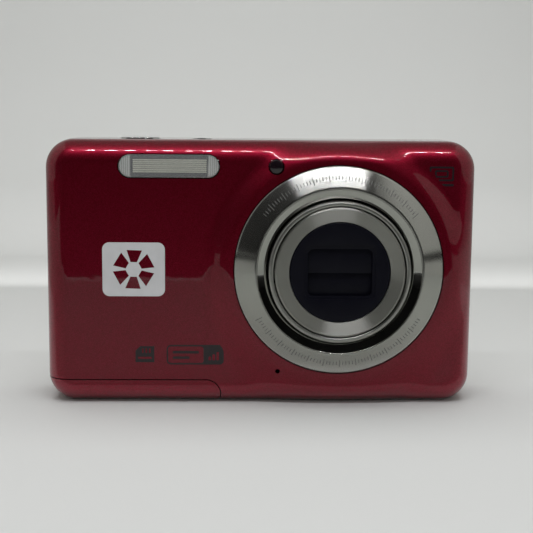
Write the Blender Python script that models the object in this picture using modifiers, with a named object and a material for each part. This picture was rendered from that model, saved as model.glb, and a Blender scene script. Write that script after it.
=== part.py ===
"""Compact digital camera, modelled as an assembly of separate parts.

Frame: +X is to the right seen from in front of the lens, -Y is the way the lens looks, +Z is up.
The origin is under the middle of the camera, on the surface that it stands on.
Depths are counted from the flat front face into the body, so a part ahead of it has a depth below 0.
"""

import math

import bmesh
import bpy
from mathutils import Matrix, Vector

MM = 0.001

# Body
BODY_WIDTH = 91.5 * MM
BODY_HEIGHT = 56.5 * MM
BODY_DEPTH = 17.6 * MM
WALL = 1.2 * MM
CORNER_RADIUS = 6.1 * MM
FRONT_FILLET = 4.8 * MM
REAR_FILLET = 2.5 * MM
SPLIT_DEPTH = 12.8 * MM
LENS_STANDOFF = 5.0 * MM
REAR_STANDOFF = 0.3 * MM
TOP_STANDOFF = 0.3 * MM
GAP = 0.3 * MM
RUN_GAP = 0.25 * MM
ROUND_STEPS = 40
SMALL_STEPS = 16

# Flare of the front shell around the lens
FLARE_HEIGHT = 1.7 * MM
FLARE_FLAT_RADIUS = 25.0 * MM
FLARE_RADIUS = 31.5 * MM
FLARE_TAIL = 3.5 * MM

# Lens
LENS_FROM_RIGHT = 29.3 * MM
LENS_ABOVE_MIDDLE = 1.05 * MM
TRIM_RADIUS = 22.1 * MM
TRIM_GROOVE = 0.64 * MM
TRIM_EDGE_HEIGHT = 1.9 * MM
TRIM_LIP_RADIUS = 17.35 * MM
TRIM_LIP_HEIGHT = 4.1 * MM
TRIM_THROAT_HEIGHT = 2.7 * MM
OUTER_BARREL_RADIUS = 14.91 * MM
OUTER_BARREL_WALL = 0.96 * MM
INNER_BARREL_WALL = 0.8 * MM
BARREL_TAIL_DEPTH = 8.6 * MM
FRONT_PLATE_RADIUS = 10.4 * MM
WINDOW_WIDTH = 13.5 * MM
WINDOW_HEIGHT = 9.9 * MM
WINDOW_CORNER = 1.2 * MM
WINDOW_LIP = 0.7 * MM
BLADE_TRAVEL = 5.3 * MM
BLADE_THICKNESS = 0.4 * MM
BLADE_OVERLAP = 0.2 * MM
FRONT_LENS_RADIUS = 9.0 * MM
ZOOM_LENS_RADIUS = 7.5 * MM
ZOOM_LENS_DEPTH = 3.0 * MM
ZOOM_LENS_LENGTH = 2.5 * MM
FOCUS_DEPTH = 8.6 * MM
FOCUS_LENGTH = 1.8 * MM
FOCUS_RADIUS = 6.5 * MM
FOCUS_LENS_RADIUS = 4.0 * MM

# Zoom drive
GEAR_MODULE = 0.8 * MM
RING_TEETH = 43
PINION_TEETH = 9
ZOOM_RING_WALL = 1.0 * MM
HOUSING_WALL = 1.2 * MM
HOUSING_FRONT_DEPTH = 1.5 * MM
HOUSING_BLOCK_DEPTH = 8.0 * MM
HOUSING_BACK_DEPTH = 12.2 * MM
HOUSING_PLATE = 1.0 * MM
GEAR_WEB = 0.7 * MM
GEAR_WIDTH = 1.8 * MM
MOTOR_RADIUS = 2.8 * MM
MOTOR_SHAFT_RADIUS = 0.5 * MM
PINION_ANGLE = math.radians(135)

# Sensor, boards and display
SENSOR_WIDTH = 8.2 * MM
SENSOR_HEIGHT = 6.4 * MM
SENSOR_THICKNESS = 0.9 * MM
BOARD_THICKNESS = 0.5 * MM
SENSOR_BOARD_WIDTH = 24.0 * MM
SENSOR_BOARD_HEIGHT = 20.0 * MM
CHASSIS_DEPTH = 13.45 * MM
CHASSIS_THICKNESS = 0.3 * MM
LCD_FROM_LEFT = 28.15 * MM
LCD_FROM_RIGHT = 3.55 * MM
LCD_FROM_BOTTOM = 6.6 * MM
LCD_FROM_TOP = 5.1 * MM
LCD_GLASS_THICKNESS = 1.1 * MM
LCD_PANEL_THICKNESS = 2.1 * MM
LCD_PANEL_INSET = 1.0 * MM

# Battery bay
BATTERY_THICKNESS = 6.0 * MM
BATTERY_DEPTH = 3.4 * MM
BATTERY_FROM_LEFT = 3.75 * MM
BATTERY_TO_LENS = 7.0 * MM
BATTERY_BOTTOM = 6.7 * MM
BATTERY_FROM_TOP = 10.0 * MM
HOLDER_WALL = 0.5 * MM
LUG_THICKNESS = 1.1 * MM
LUG_INSET = 1.4 * MM
LUG_NECK = 0.7 * MM
SPRING_CLEARANCE = 0.4 * MM
HINGE_REAR_GAP = 0.2 * MM
CARD_WIDTH = 24.0 * MM
CARD_HEIGHT = 32.0 * MM
CARD_THICKNESS = 2.1 * MM
CARD_DEPTH = 11.6 * MM
CARD_FROM_LEFT = 8.75 * MM
CARD_SLOT_RAIL = 0.9 * MM

# Battery door and its hinge
DOOR_HEIGHT = 5.15 * MM
DOOR_END_RADIUS = 3.15 * MM
HINGE_FROM_LEFT = 34.05 * MM
HINGE_PIN_RADIUS = 0.4 * MM
KNUCKLE_BORE = 0.62 * MM
KNUCKLE_RADIUS = 1.15 * MM
DOOR_SLIDE = 1.6 * MM
HINGE_PLATE_THICKNESS = 0.8 * MM
HINGE_PLATE_LENGTH = 25.0 * MM
SPRING_WIRE_RADIUS = 0.14 * MM
SPRING_TURNS = 5

# Flash and lamp
FLASH_FROM_LEFT = 26.35 * MM
FLASH_FROM_TOP = 5.5 * MM
FLASH_WIDTH = 21.1 * MM
FLASH_HEIGHT = 4.8 * MM
FLASH_TUBE_RADIUS = 0.8 * MM
REFLECTOR_WALL = 0.35 * MM
REFLECTOR_HALF_HEIGHT = 1.9 * MM
REFLECTOR_LENGTH = 2.9 * MM
CAPACITOR_RADIUS = 3.3 * MM
CAPACITOR_LENGTH = 26.0 * MM
CAPACITOR_FROM_RIGHT = 5.45 * MM
LAMP_FROM_LEFT = 48.85 * MM
LAMP_FROM_TOP = 5.45 * MM
LAMP_RADIUS = 1.47 * MM
MIC_LEFT_OF_LENS = 12.75 * MM
MIC_BOTTOM = 7.5 * MM
MIC_RADIUS = 0.55 * MM

# Top buttons
TOP_BUTTON_DEPTH = 8.2 * MM
SHUTTER_FROM_LEFT = 19.85 * MM
SHUTTER_WIDTH = 8.4 * MM
SHUTTER_DEPTH = 5.2 * MM
SHUTTER_TRAVEL = 0.8 * MM
POWER_FROM_LEFT = 33.1 * MM
POWER_RADIUS = 1.95 * MM
FLANGE = 0.6 * MM
FLANGE_THICKNESS = 0.9 * MM
SWITCH_HEIGHT = 1.0 * MM
TOP_BOARD_DROP = 6.6 * MM

# Rear controls
BUTTON_RADIUS = 2.2 * MM
BUTTON_TRAVEL = 0.4 * MM
NAV_FROM_LEFT = 14.75 * MM
NAV_HEIGHT = 25.0 * MM
NAV_RADIUS = 8.2 * MM
NAV_HOLE_RADIUS = 4.5 * MM
SET_RADIUS = 4.1 * MM
NAV_PLATE_RADIUS = 6.0 * MM
BUTTON_COLUMN = 6.6 * MM
UPPER_BUTTON_HEIGHT = 37.6 * MM
LOWER_BUTTON_HEIGHT = 11.2 * MM
ROCKER_FROM_TOP = 10.2 * MM
ROCKER_WIDTH = 12.0 * MM
ROCKER_HEIGHT = 4.6 * MM
RECORD_RIGHT_OF_NAV = 9.7 * MM
BUTTON_BOTTOM_DEPTH = 15.35 * MM
BUTTON_BOARD_DEPTH = 14.0 * MM
BUTTON_BOARD_THICKNESS = 0.3 * MM
DOME_HEIGHT = 0.4 * MM
LED_RADIUS = 0.8 * MM

# Strap, port, speaker, bush and screws
STRAP_BOTTOM = 36.0 * MM
STRAP_HEIGHT = 9.0 * MM
STRAP_RECESS = 3.0 * MM
STRAP_RECESS_DEPTH = 13.9 * MM
STRAP_RECESS_WIDTH = 2.2 * MM
STRAP_BAR_RADIUS = 0.6 * MM
STRAP_POCKET_WALL = 0.8 * MM
PORT_BOTTOM = 12.0 * MM
PORT_HEIGHT = 7.5 * MM
PORT_THICKNESS = 2.4 * MM
PORT_LENGTH = 6.5 * MM
PORT_DEPTH = 9.9 * MM
PORT_WALL = 0.35 * MM
SPEAKER_FROM_RIGHT = 12.75 * MM
SPEAKER_RADIUS = 3.5 * MM
SPEAKER_HEIGHT = 2.4 * MM
GRILLE_HOLE_RADIUS = 0.45 * MM
GRILLE_PITCH = 1.6 * MM
BUSH_RIGHT_OF_LENS = 5.8 * MM
BUSH_HOLE_RADIUS = 3.175 * MM
BUSH_RADIUS = 4.0 * MM
BUSH_HEIGHT = 6.6 * MM
BUSH_HOLE_LENGTH = 5.5 * MM
BUSH_FLANGE_RADIUS = 4.5 * MM
SCREW_HEAD_RADIUS = 1.3 * MM
SCREW_HEAD_HEIGHT = 0.45 * MM
SCREW_SHANK_RADIUS = 0.65 * MM
SCREW_LENGTH = 4.5 * MM

# Places worked out from the sizes above
LEFT = -BODY_WIDTH / 2
RIGHT = BODY_WIDTH / 2
TOP = BODY_HEIGHT
FRONT_Y = LENS_STANDOFF - (LENS_STANDOFF + BODY_DEPTH + REAR_STANDOFF) / 2
LENS_X = RIGHT - LENS_FROM_RIGHT
LENS_Z = BODY_HEIGHT / 2 + LENS_ABOVE_MIDDLE
HINGE_X = LEFT + HINGE_FROM_LEFT
HINGE_Z = DOOR_HEIGHT - DOOR_END_RADIUS
NAV_X = LEFT + NAV_FROM_LEFT
INNER_BARREL_RADIUS = OUTER_BARREL_RADIUS - OUTER_BARREL_WALL - GAP
BARREL_BORE_RADIUS = INNER_BARREL_RADIUS - INNER_BARREL_WALL
ZOOM_RING_BORE = OUTER_BARREL_RADIUS + GAP
HOUSING_BORE = ZOOM_RING_BORE + ZOOM_RING_WALL + GAP
RING_PITCH_RADIUS = GEAR_MODULE * RING_TEETH / 2
PINION_PITCH_RADIUS = GEAR_MODULE * PINION_TEETH / 2
GEAR_CHAMBER_RADIUS = RING_PITCH_RADIUS + 0.7 * GEAR_MODULE + GAP
HOUSING_HALF = GEAR_CHAMBER_RADIUS + HOUSING_WALL
GEAR_DEPTH = HOUSING_BLOCK_DEPTH + GEAR_WEB + GAP
PINION_X = LENS_X + (RING_PITCH_RADIUS + PINION_PITCH_RADIUS) * math.cos(PINION_ANGLE)
PINION_Z = LENS_Z + (RING_PITCH_RADIUS + PINION_PITCH_RADIUS) * math.sin(PINION_ANGLE)
BATTERY_LEFT = LEFT + BATTERY_FROM_LEFT
BATTERY_RIGHT = LENS_X - HOUSING_HALF - BATTERY_TO_LENS
BATTERY_TOP = TOP - BATTERY_FROM_TOP
TOP_BOARD_Z = TOP - TOP_BOARD_DROP
SHUTTER_X = LEFT + SHUTTER_FROM_LEFT
POWER_X = LEFT + POWER_FROM_LEFT
ROCKER_Z = TOP - ROCKER_FROM_TOP
REAR_FACE_DEPTH = BODY_DEPTH + REAR_STANDOFF
REAR_INNER_DEPTH = BODY_DEPTH - WALL

# Turns a shape that was drawn with its thickness along Z so that it faces another way
FACING = {
    "up": Matrix.Identity(3),
    "down": Matrix.Rotation(math.pi, 3, "X"),
    "front": Matrix.Rotation(math.pi / 2, 3, "X"),
    "back": Matrix.Rotation(-math.pi / 2, 3, "X"),
    "right": Matrix(((0, 0, 1), (1, 0, 0), (0, 1, 0))),
}

COLOURS = {
    "red_paint": ((0.30, 0.012, 0.045), 0.28, 0.55),
    "satin_metal": ((0.62, 0.62, 0.64), 0.30, 1.0),
    "chrome": ((0.80, 0.80, 0.82), 0.12, 1.0),
    "black_plastic": ((0.015, 0.015, 0.017), 0.40, 0.0),
    "grey_plastic": ((0.18, 0.18, 0.19), 0.50, 0.0),
    "glass": ((0.55, 0.62, 0.68), 0.05, 0.0),
    "clear_plastic": ((0.80, 0.83, 0.86), 0.12, 0.0),
    "steel": ((0.45, 0.45, 0.46), 0.35, 1.0),
    "brass": ((0.65, 0.48, 0.20), 0.35, 1.0),
    "board_green": ((0.03, 0.16, 0.07), 0.50, 0.0),
    "battery_grey": ((0.10, 0.10, 0.12), 0.45, 0.0),
    "card_blue": ((0.03, 0.07, 0.22), 0.45, 0.0),
    "amber_plastic": ((0.60, 0.20, 0.03), 0.30, 0.0),
}


def y_at(depth):
    """World Y of a place that lies this far behind the flat front face."""
    return FRONT_Y + depth


def clear_scene():
    """Remove every object that the file starts with."""
    for obj in list(bpy.data.objects):
        bpy.data.objects.remove(obj, do_unlink=True)


def new_collection(name):
    """Make a collection under the scene."""
    collection = bpy.data.collections.new(name)
    bpy.context.scene.collection.children.link(collection)
    return collection


clear_scene()
PARTS = new_collection("compact_camera")
CUTTERS = new_collection("compact_camera_cutters")


def finish_material(slot):
    """Principled material for one finish, made once."""
    if slot in bpy.data.materials:
        return bpy.data.materials[slot]
    colour, roughness, metallic = COLOURS[slot]
    material = bpy.data.materials.new(slot)
    material.use_nodes = True
    shader = material.node_tree.nodes["Principled BSDF"]
    shader.inputs["Base Color"].default_value = (*colour, 1.0)
    shader.inputs["Roughness"].default_value = roughness
    shader.inputs["Metallic"].default_value = metallic
    material.diffuse_color = (*colour, 1.0)
    return material


def new_object(name, mesh):
    """Put a mesh in the scene as a cutter; a finished part is moved out by as_part."""
    obj = bpy.data.objects.new(name, mesh)
    CUTTERS.objects.link(obj)
    obj.display_type = "WIRE"
    obj.hide_render = True
    return obj


def as_part(obj, slot):
    """Turn a shape into one of the camera's parts, with its finish."""
    CUTTERS.objects.unlink(obj)
    PARTS.objects.link(obj)
    obj.display_type = "TEXTURED"
    obj.hide_render = False
    obj.data.materials.clear()
    obj.data.materials.append(finish_material(slot))
    return obj


def place(obj, centre, facing):
    """Set an object's location and the way that it faces."""
    obj.matrix_world = Matrix.Translation(Vector(centre)) @ FACING[facing].to_4x4()
    return obj


def box(name, low, high, bevel=0.0):
    """Box between two corners, with its edges rounded when bevel is given."""
    centre = [(a + b) / 2 for a, b in zip(low, high)]
    size = [b - a for a, b in zip(low, high)]
    mesh = bpy.data.meshes.new(name)
    bm = bmesh.new()
    bmesh.ops.create_cube(bm, size=1.0)
    bmesh.ops.scale(bm, vec=size, verts=bm.verts)
    bm.to_mesh(mesh)
    bm.free()
    obj = place(new_object(name, mesh), centre, "up")
    if bevel:
        rounding = obj.modifiers.new("rounding", "BEVEL")
        rounding.width = bevel
        rounding.segments = 2
    return obj


def box_at(name, x_range, depth_range, z_range, bevel=0.0):
    """Box given by its span across, into and up the body."""
    low = (x_range[0], y_at(depth_range[0]), z_range[0])
    high = (x_range[1], y_at(depth_range[1]), z_range[1])
    return box(name, low, high, bevel)


def arc(centre, radius, start, end, steps):
    """Points along an arc, with its angles in degrees."""
    points = []
    for i in range(steps + 1):
        angle = math.radians(start + (end - start) * i / steps)
        points.append((centre[0] + radius * math.cos(angle), centre[1] + radius * math.sin(angle)))
    return points


def circle(centre, radius, steps=SMALL_STEPS):
    """Closed circle as an outline."""
    return arc(centre, radius, 0, 360, steps)[:-1]


def rounded_rectangle(centre, width, height, radius, steps=5):
    """Rectangle with round corners; with a radius of half its height it has round ends."""
    dx = width / 2 - radius
    dy = height / 2 - radius
    outline = []
    for quarter, (sx, sy) in enumerate(((1, 1), (-1, 1), (-1, -1), (1, -1))):
        corner = (centre[0] + sx * dx, centre[1] + sy * dy)
        outline += arc(corner, radius, 90 * quarter, 90 * quarter + 90, steps)
    return outline


def prism(name, loops, start, end, facing):
    """Flat outline with holes, made solid between two places along the way it faces.

    Facing front, the outline is in X and Z and start and end are depths; facing up, it is in X and Y
    and they are heights; facing right, it is in Y and Z and they are places along X.
    """
    curve = bpy.data.curves.new(name, "CURVE")
    curve.dimensions = "2D"
    curve.fill_mode = "BOTH"
    curve.extrude = abs(end - start) / 2
    for loop in loops:
        spline = curve.splines.new("POLY")
        spline.points.add(len(loop) - 1)
        for point, (u, v) in zip(spline.points, loop):
            point.co = (u, v, 0, 1)
        spline.use_cyclic_u = True
    guide = bpy.data.objects.new(name, curve)
    bpy.context.scene.collection.objects.link(guide)
    middle = (start + end) / 2
    centre = {"front": (0, y_at(middle), 0), "up": (0, 0, middle), "right": (middle, 0, 0)}[facing]
    place(guide, centre, facing)
    bpy.context.view_layer.update()
    graph = bpy.context.evaluated_depsgraph_get()
    mesh = bpy.data.meshes.new_from_object(guide.evaluated_get(graph))
    matrix = guide.matrix_world.copy()
    bpy.data.objects.remove(guide)
    bm = bmesh.new()
    bm.from_mesh(mesh)
    bmesh.ops.remove_doubles(bm, verts=bm.verts, dist=1e-7)
    bmesh.ops.recalc_face_normals(bm, faces=bm.faces)
    bm.to_mesh(mesh)
    bm.free()
    obj = new_object(name, mesh)
    obj.matrix_world = matrix
    return obj


def turned(name, profile, centre, facing, closed=False, steps=ROUND_STEPS):
    """Turned shape. The profile is (radius, height) down its outer side; a ring's profile is closed."""
    mesh = bpy.data.meshes.new(name)
    edges = [(i, i + 1) for i in range(len(profile) - 1)]
    if closed:
        edges.append((len(profile) - 1, 0))
    mesh.from_pydata([(r, 0, h) for r, h in profile], edges, [])
    obj = place(new_object(name, mesh), centre, facing)
    screw = obj.modifiers.new("turn", "SCREW")
    screw.axis = "Z"
    screw.angle = 2 * math.pi
    screw.steps = steps
    screw.render_steps = steps
    screw.use_merge_vertices = True
    screw.merge_threshold = 1e-6
    return obj


def rod(name, radius, low, high, centre, facing, steps=SMALL_STEPS):
    """Plain cylinder between two heights along the way it faces."""
    profile = [(0, high), (radius, high), (radius, low), (0, low)]
    return turned(name, profile, centre, facing, steps=steps)


def combine(obj, other, operation, solver="EXACT"):
    """Boolean of one shape with another."""
    change = obj.modifiers.new(other.name, "BOOLEAN")
    change.operation = operation
    change.solver = solver
    change.object = other
    return obj


def cut(obj, *cutters, solver="EXACT"):
    """Cut each of the cutters out of a shape."""
    for cutter in cutters:
        combine(obj, cutter, "DIFFERENCE", solver)
    return obj


def join(obj, *others, solver="EXACT"):
    """Join other shapes to a shape so that they are one solid."""
    for other in others:
        combine(obj, other, "UNION", solver)
    return obj


def body_block(name, inset, front_depth=0.0, front_fillet=FRONT_FILLET):
    """Rounded block of the body's form, each face moved inwards by inset."""
    back_depth = BODY_DEPTH - inset
    low = Vector((LEFT + inset, y_at(front_depth + inset), inset))
    high = Vector((RIGHT - inset, y_at(back_depth), TOP - inset))
    mesh = bpy.data.meshes.new(name)
    bm = bmesh.new()
    bmesh.ops.create_cube(bm, size=1.0)
    bmesh.ops.scale(bm, vec=high - low, verts=bm.verts)
    bmesh.ops.translate(bm, vec=(low + high) / 2, verts=bm.verts)
    corners = [e for e in bm.edges if abs(e.verts[0].co.y - e.verts[1].co.y) > GAP]
    bmesh.ops.bevel(bm, geom=corners, offset=CORNER_RADIUS - inset, segments=8, profile=0.5, affect="EDGES")
    for y, radius in ((low.y, front_fillet - inset), (high.y, REAR_FILLET - inset)):
        rim = [e for e in bm.edges if all(abs(v.co.y - y) < GAP / 10 for v in e.verts)]
        bmesh.ops.bevel(bm, geom=rim, offset=radius, segments=6, profile=0.5, affect="EDGES")
    bm.to_mesh(mesh)
    bm.free()
    return new_object(name, mesh)


# ---------------------------------------------------------------- casing


def door_outline(margin):
    """Outline, seen from the front, of the corner that the battery door takes up."""
    top = HINGE_Z + DOOR_END_RADIUS + margin
    outside = LEFT - FRONT_FILLET
    end = arc((HINGE_X, HINGE_Z), DOOR_END_RADIUS + margin, -90, 90, 20)
    return end + [(outside, top), (outside, HINGE_Z - DOOR_END_RADIUS - margin)]


def body_cutters():
    """Cutters that both halves of the casing and the door share."""
    return {
        "cavity": body_block("cavity_cutter", WALL),
        "door": prism("door_cutter", [door_outline(GAP)], -FRONT_FILLET, BODY_DEPTH + GAP * 10, "front"),
    }


def flare_profile():
    """Profile of the front's flare: flat by the lens, then an S-curve down into the front face."""
    span = FLARE_RADIUS - FLARE_FLAT_RADIUS
    profile = [(0, FLARE_HEIGHT)]
    steps = 8
    for i in range(steps + 1):
        height = FLARE_HEIGHT * (0.5 + 0.5 * math.cos(math.pi * i / steps))
        profile.append((FLARE_FLAT_RADIUS + span * i / steps, height))
    tail = FLARE_RADIUS + FLARE_TAIL
    profile += [(tail, -FRONT_FILLET / 2), (tail, -FRONT_FILLET + GAP / 3), (0, -FRONT_FILLET + GAP / 3)]
    return profile


def top_button_holes():
    """Cutters for the two buttons in the top."""
    y = y_at(TOP_BUTTON_DEPTH)
    low, high = TOP - 2 * WALL, TOP + WALL
    stadium = rounded_rectangle((SHUTTER_X, y), SHUTTER_WIDTH + 2 * RUN_GAP, SHUTTER_DEPTH + 2 * RUN_GAP,
                                SHUTTER_DEPTH / 2 + RUN_GAP, 8)
    shutter = prism("shutter_hole", [stadium], low, high, "up")
    power = rod("power_hole", POWER_RADIUS + RUN_GAP, low, high, (POWER_X, y, 0), "up")
    return [shutter, power]


def speaker_holes():
    """Cutters for the row of holes over the loudspeaker."""
    x = RIGHT - SPEAKER_FROM_RIGHT
    y = y_at(TOP_BUTTON_DEPTH)
    low, high = TOP - 2 * WALL, TOP + WALL
    return [
        rod(f"grille_hole_{i + 3}", GRILLE_HOLE_RADIUS, low, high, (x + i * GRILLE_PITCH, y, 0), "up", 12)
        for i in range(-2, 3)
    ]


def screw_places():
    """Name, head place and facing of each casing screw: two in the bottom, one in the right end."""
    y = y_at(TOP_BUTTON_DEPTH)
    inset = GAP / 2
    return (
        ("case_screw_1", (RIGHT - 7.5 * MM, y, inset), "down"),
        ("case_screw_2", (LENS_X - HOUSING_HALF + 2.0 * MM, y, inset), "down"),
        ("case_screw_3", (RIGHT - inset, y, CORNER_RADIUS + 2.0 * MM), "right"),
    )


def screw_holes():
    """Counterbored holes for the casing screws."""
    cutters = []
    for name, place_of_head, facing in screw_places():
        head = SCREW_HEAD_RADIUS + GAP
        shank = SCREW_SHANK_RADIUS + GAP
        seat = -SCREW_HEAD_HEIGHT - GAP
        profile = [(0, WALL), (head, WALL), (head, seat), (shank, seat), (shank, -2 * WALL), (0, -2 * WALL)]
        cutters.append(turned(name + "_hole", profile, place_of_head, facing, steps=SMALL_STEPS))
    return cutters


def front_shell():
    """Front half of the casing, with the flare, most of the top and the bottom."""
    shell = body_block("front_shell", 0.0)
    lens = (LENS_X, y_at(0), LENS_Z)
    flare = turned("flare", flare_profile(), lens, "front", steps=ROUND_STEPS)
    envelope = body_block("flare_envelope", 0.0, -FLARE_HEIGHT - GAP / 10, FRONT_FILLET + FLARE_HEIGHT)
    combine(flare, envelope, "INTERSECT", "MANIFOLD")
    join(shell, flare, solver="MANIFOLD")
    shared = body_cutters()
    cut(shell, shared["cavity"], solver="MANIFOLD")
    behind = box_at("behind_split", (LEFT - WALL, RIGHT + WALL), (SPLIT_DEPTH, 2 * BODY_DEPTH),
                    (-WALL, TOP + WALL))
    cut(shell, behind, shared["door"], solver="MANIFOLD")
    pocket = rod("trim_pocket", TRIM_RADIUS + TRIM_GROOVE, -GAP / 10, 3 * FLARE_HEIGHT, lens, "front",
                 ROUND_STEPS)
    bore = rod("lens_opening", ZOOM_RING_BORE + RUN_GAP, -3 * WALL, WALL, lens, "front", ROUND_STEPS)
    cut(shell, pocket, bore, solver="MANIFOLD")
    flash = (LEFT + FLASH_FROM_LEFT, TOP - FLASH_FROM_TOP)
    width, height = FLASH_WIDTH + 2 * RUN_GAP, FLASH_HEIGHT + 2 * RUN_GAP
    stadium = rounded_rectangle(flash, width, height, height / 2, 8)
    opening = prism("flash_opening", [stadium], -2 * WALL, 2 * WALL, "front")
    lamp = (LEFT + LAMP_FROM_LEFT, y_at(0), TOP - LAMP_FROM_TOP)
    lamp_hole = rod("lamp_hole", LAMP_RADIUS + RUN_GAP, -3 * WALL, 3 * WALL, lamp, "front")
    mic = (LENS_X - MIC_LEFT_OF_LENS, y_at(0), MIC_BOTTOM)
    mic_hole = rod("mic_hole", MIC_RADIUS, -3 * WALL, 3 * WALL, mic, "front", 12)
    bush = (LENS_X + BUSH_RIGHT_OF_LENS, y_at(TOP_BUTTON_DEPTH), 0)
    bush_hole = rod("bush_hole", BUSH_RADIUS + RUN_GAP, -WALL, 3 * WALL, bush, "up")
    port = box_at("port_hole", (RIGHT - 2 * WALL, RIGHT + WALL),
                  (PORT_DEPTH - GAP, PORT_DEPTH + PORT_THICKNESS + GAP),
                  (PORT_BOTTOM - GAP, PORT_BOTTOM + PORT_HEIGHT + GAP))
    cut(shell, opening, lamp_hole, mic_hole, bush_hole, port, *top_button_holes(), *speaker_holes(),
        *screw_holes(), solver="MANIFOLD")
    return as_part(shell, "red_paint")


def rear_button_centres():
    """Places of the four round buttons in the back, across and up."""
    return {
        "record_button": (NAV_X + RECORD_RIGHT_OF_NAV, ROCKER_Z),
        "play_button": (NAV_X - BUTTON_COLUMN, UPPER_BUTTON_HEIGHT),
        "menu_button": (NAV_X - BUTTON_COLUMN, LOWER_BUTTON_HEIGHT),
        "delete_button": (NAV_X + BUTTON_COLUMN, LOWER_BUTTON_HEIGHT),
    }


def lcd_frame():
    """Span of the display glass across and up."""
    return (LEFT + LCD_FROM_LEFT, RIGHT - LCD_FROM_RIGHT), (LCD_FROM_BOTTOM, TOP - LCD_FROM_TOP)


def rear_shell():
    """Rear half of the casing, with the display opening, the control holes and the strap recess."""
    shell = body_block("rear_shell", 0.0)
    shared = body_cutters()
    cut(shell, shared["cavity"])
    start = SPLIT_DEPTH + GAP
    ahead = box_at("ahead_of_split", (LEFT - WALL, RIGHT + WALL), (-BODY_DEPTH, start), (-WALL, TOP + WALL))
    cut(shell, ahead, shared["door"])
    wall = STRAP_POCKET_WALL
    depths = (STRAP_RECESS_DEPTH, STRAP_RECESS_DEPTH + STRAP_RECESS_WIDTH)
    pocket = box_at("strap_pocket", (LEFT + WALL / 2, LEFT + STRAP_RECESS + wall),
                    (start, depths[1] + 1.5 * wall), (STRAP_BOTTOM - wall, STRAP_BOTTOM + STRAP_HEIGHT + wall))
    recess = box_at("strap_recess", (LEFT - WALL, LEFT + STRAP_RECESS), depths,
                    (STRAP_BOTTOM, STRAP_BOTTOM + STRAP_HEIGHT))
    join(shell, pocket)
    cut(shell, recess)
    through = (REAR_INNER_DEPTH - WALL, BODY_DEPTH + WALL)
    across, up = lcd_frame()
    window = box_at("display_opening", (across[0] - GAP, across[1] + GAP), through, (up[0] - GAP, up[1] + GAP))
    cut(shell, window)
    high, low = -through[0], -through[1]
    for name, (x, z) in rear_button_centres().items():
        cut(shell, rod(name + "_hole", BUTTON_RADIUS + GAP, low, high, (x, y_at(0), z), "front"))
    cut(shell, rod("nav_hole", NAV_RADIUS + GAP, low, high, (NAV_X, y_at(0), NAV_HEIGHT), "front", 32))
    led = (NAV_X + BUTTON_COLUMN, y_at(0), UPPER_BUTTON_HEIGHT)
    cut(shell, rod("led_hole", LED_RADIUS + GAP, low, high, led, "front", 16))
    height = ROCKER_HEIGHT + 2 * GAP
    slot = rounded_rectangle((NAV_X, ROCKER_Z), ROCKER_WIDTH + 2 * GAP, height, height / 2, 8)
    cut(shell, prism("rocker_slot", [slot], *through, "front"))
    return as_part(shell, "red_paint")


def battery_door():
    """Battery and card door: the lower left corner of the casing, thinned round the hinge knuckles."""
    door = body_block("battery_door", 0.0)
    cut(door, body_cutters()["cavity"])
    region = prism("door_region", [door_outline(0.0)], -FRONT_FILLET, BODY_DEPTH + GAP * 10, "front")
    combine(door, region, "INTERSECT")
    relief = KNUCKLE_RADIUS + GAP
    length = DOOR_SLIDE + 2 * relief
    outline = rounded_rectangle((HINGE_X + DOOR_SLIDE / 2, HINGE_Z), length, 2 * relief, relief, 8)
    cut(door, prism("hinge_relief", [outline], FRONT_FILLET - MM, BODY_DEPTH - REAR_FILLET + GAP, "front"))
    return as_part(door, "red_paint")


def lug_spans():
    """Depths of the holder's two hinge lugs, front and rear."""
    front = BATTERY_DEPTH + LUG_INSET
    end = BATTERY_DEPTH + BATTERY_THICKNESS
    return (front, front + LUG_THICKNESS), (end - GAP, end + GAP + HOLDER_WALL)


def door_hinge():
    """Hinge plate, pin and coil spring of the door."""
    front_lug, rear_lug = lug_spans()
    middle = (front_lug[1] + GAP, rear_lug[0] - GAP)
    rear_end = BODY_DEPTH - REAR_FILLET - HINGE_REAR_GAP
    rear = (rear_end - LUG_THICKNESS, rear_end)
    half = HINGE_PLATE_THICKNESS / 2
    end = HINGE_X - KNUCKLE_RADIUS - GAP
    plate = box_at("door_hinge_plate", (end - HINGE_PLATE_LENGTH, end), (FRONT_FILLET - MM + GAP, rear[1]),
                   (HINGE_Z - half, HINGE_Z + half))
    for index, span in enumerate((middle, rear)):
        outline = circle((HINGE_X, HINGE_Z), KNUCKLE_RADIUS)
        arm = box_at(f"knuckle_arm_{index + 1}", (end - MM, HINGE_X - KNUCKLE_RADIUS / 2), span,
                     (HINGE_Z - half, HINGE_Z + half))
        join(plate, arm, prism(f"knuckle_{index + 1}", [outline], *span, "front"))
    bore = prism("knuckle_bore", [circle((HINGE_X, HINGE_Z), KNUCKLE_BORE)], 0, BODY_DEPTH, "front")
    cut(plate, bore)
    as_part(plate, "steel")
    centre = (HINGE_X, y_at(0), HINGE_Z)
    pin = rod("door_hinge_pin", HINGE_PIN_RADIUS, -rear[1], -FRONT_FILLET + GAP, centre, "front")
    as_part(pin, "steel")
    coil = (rear_lug[1] + SPRING_CLEARANCE, rear[0] - SPRING_CLEARANCE)
    as_part(coil_spring("door_spring", coil, centre), "steel")


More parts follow.
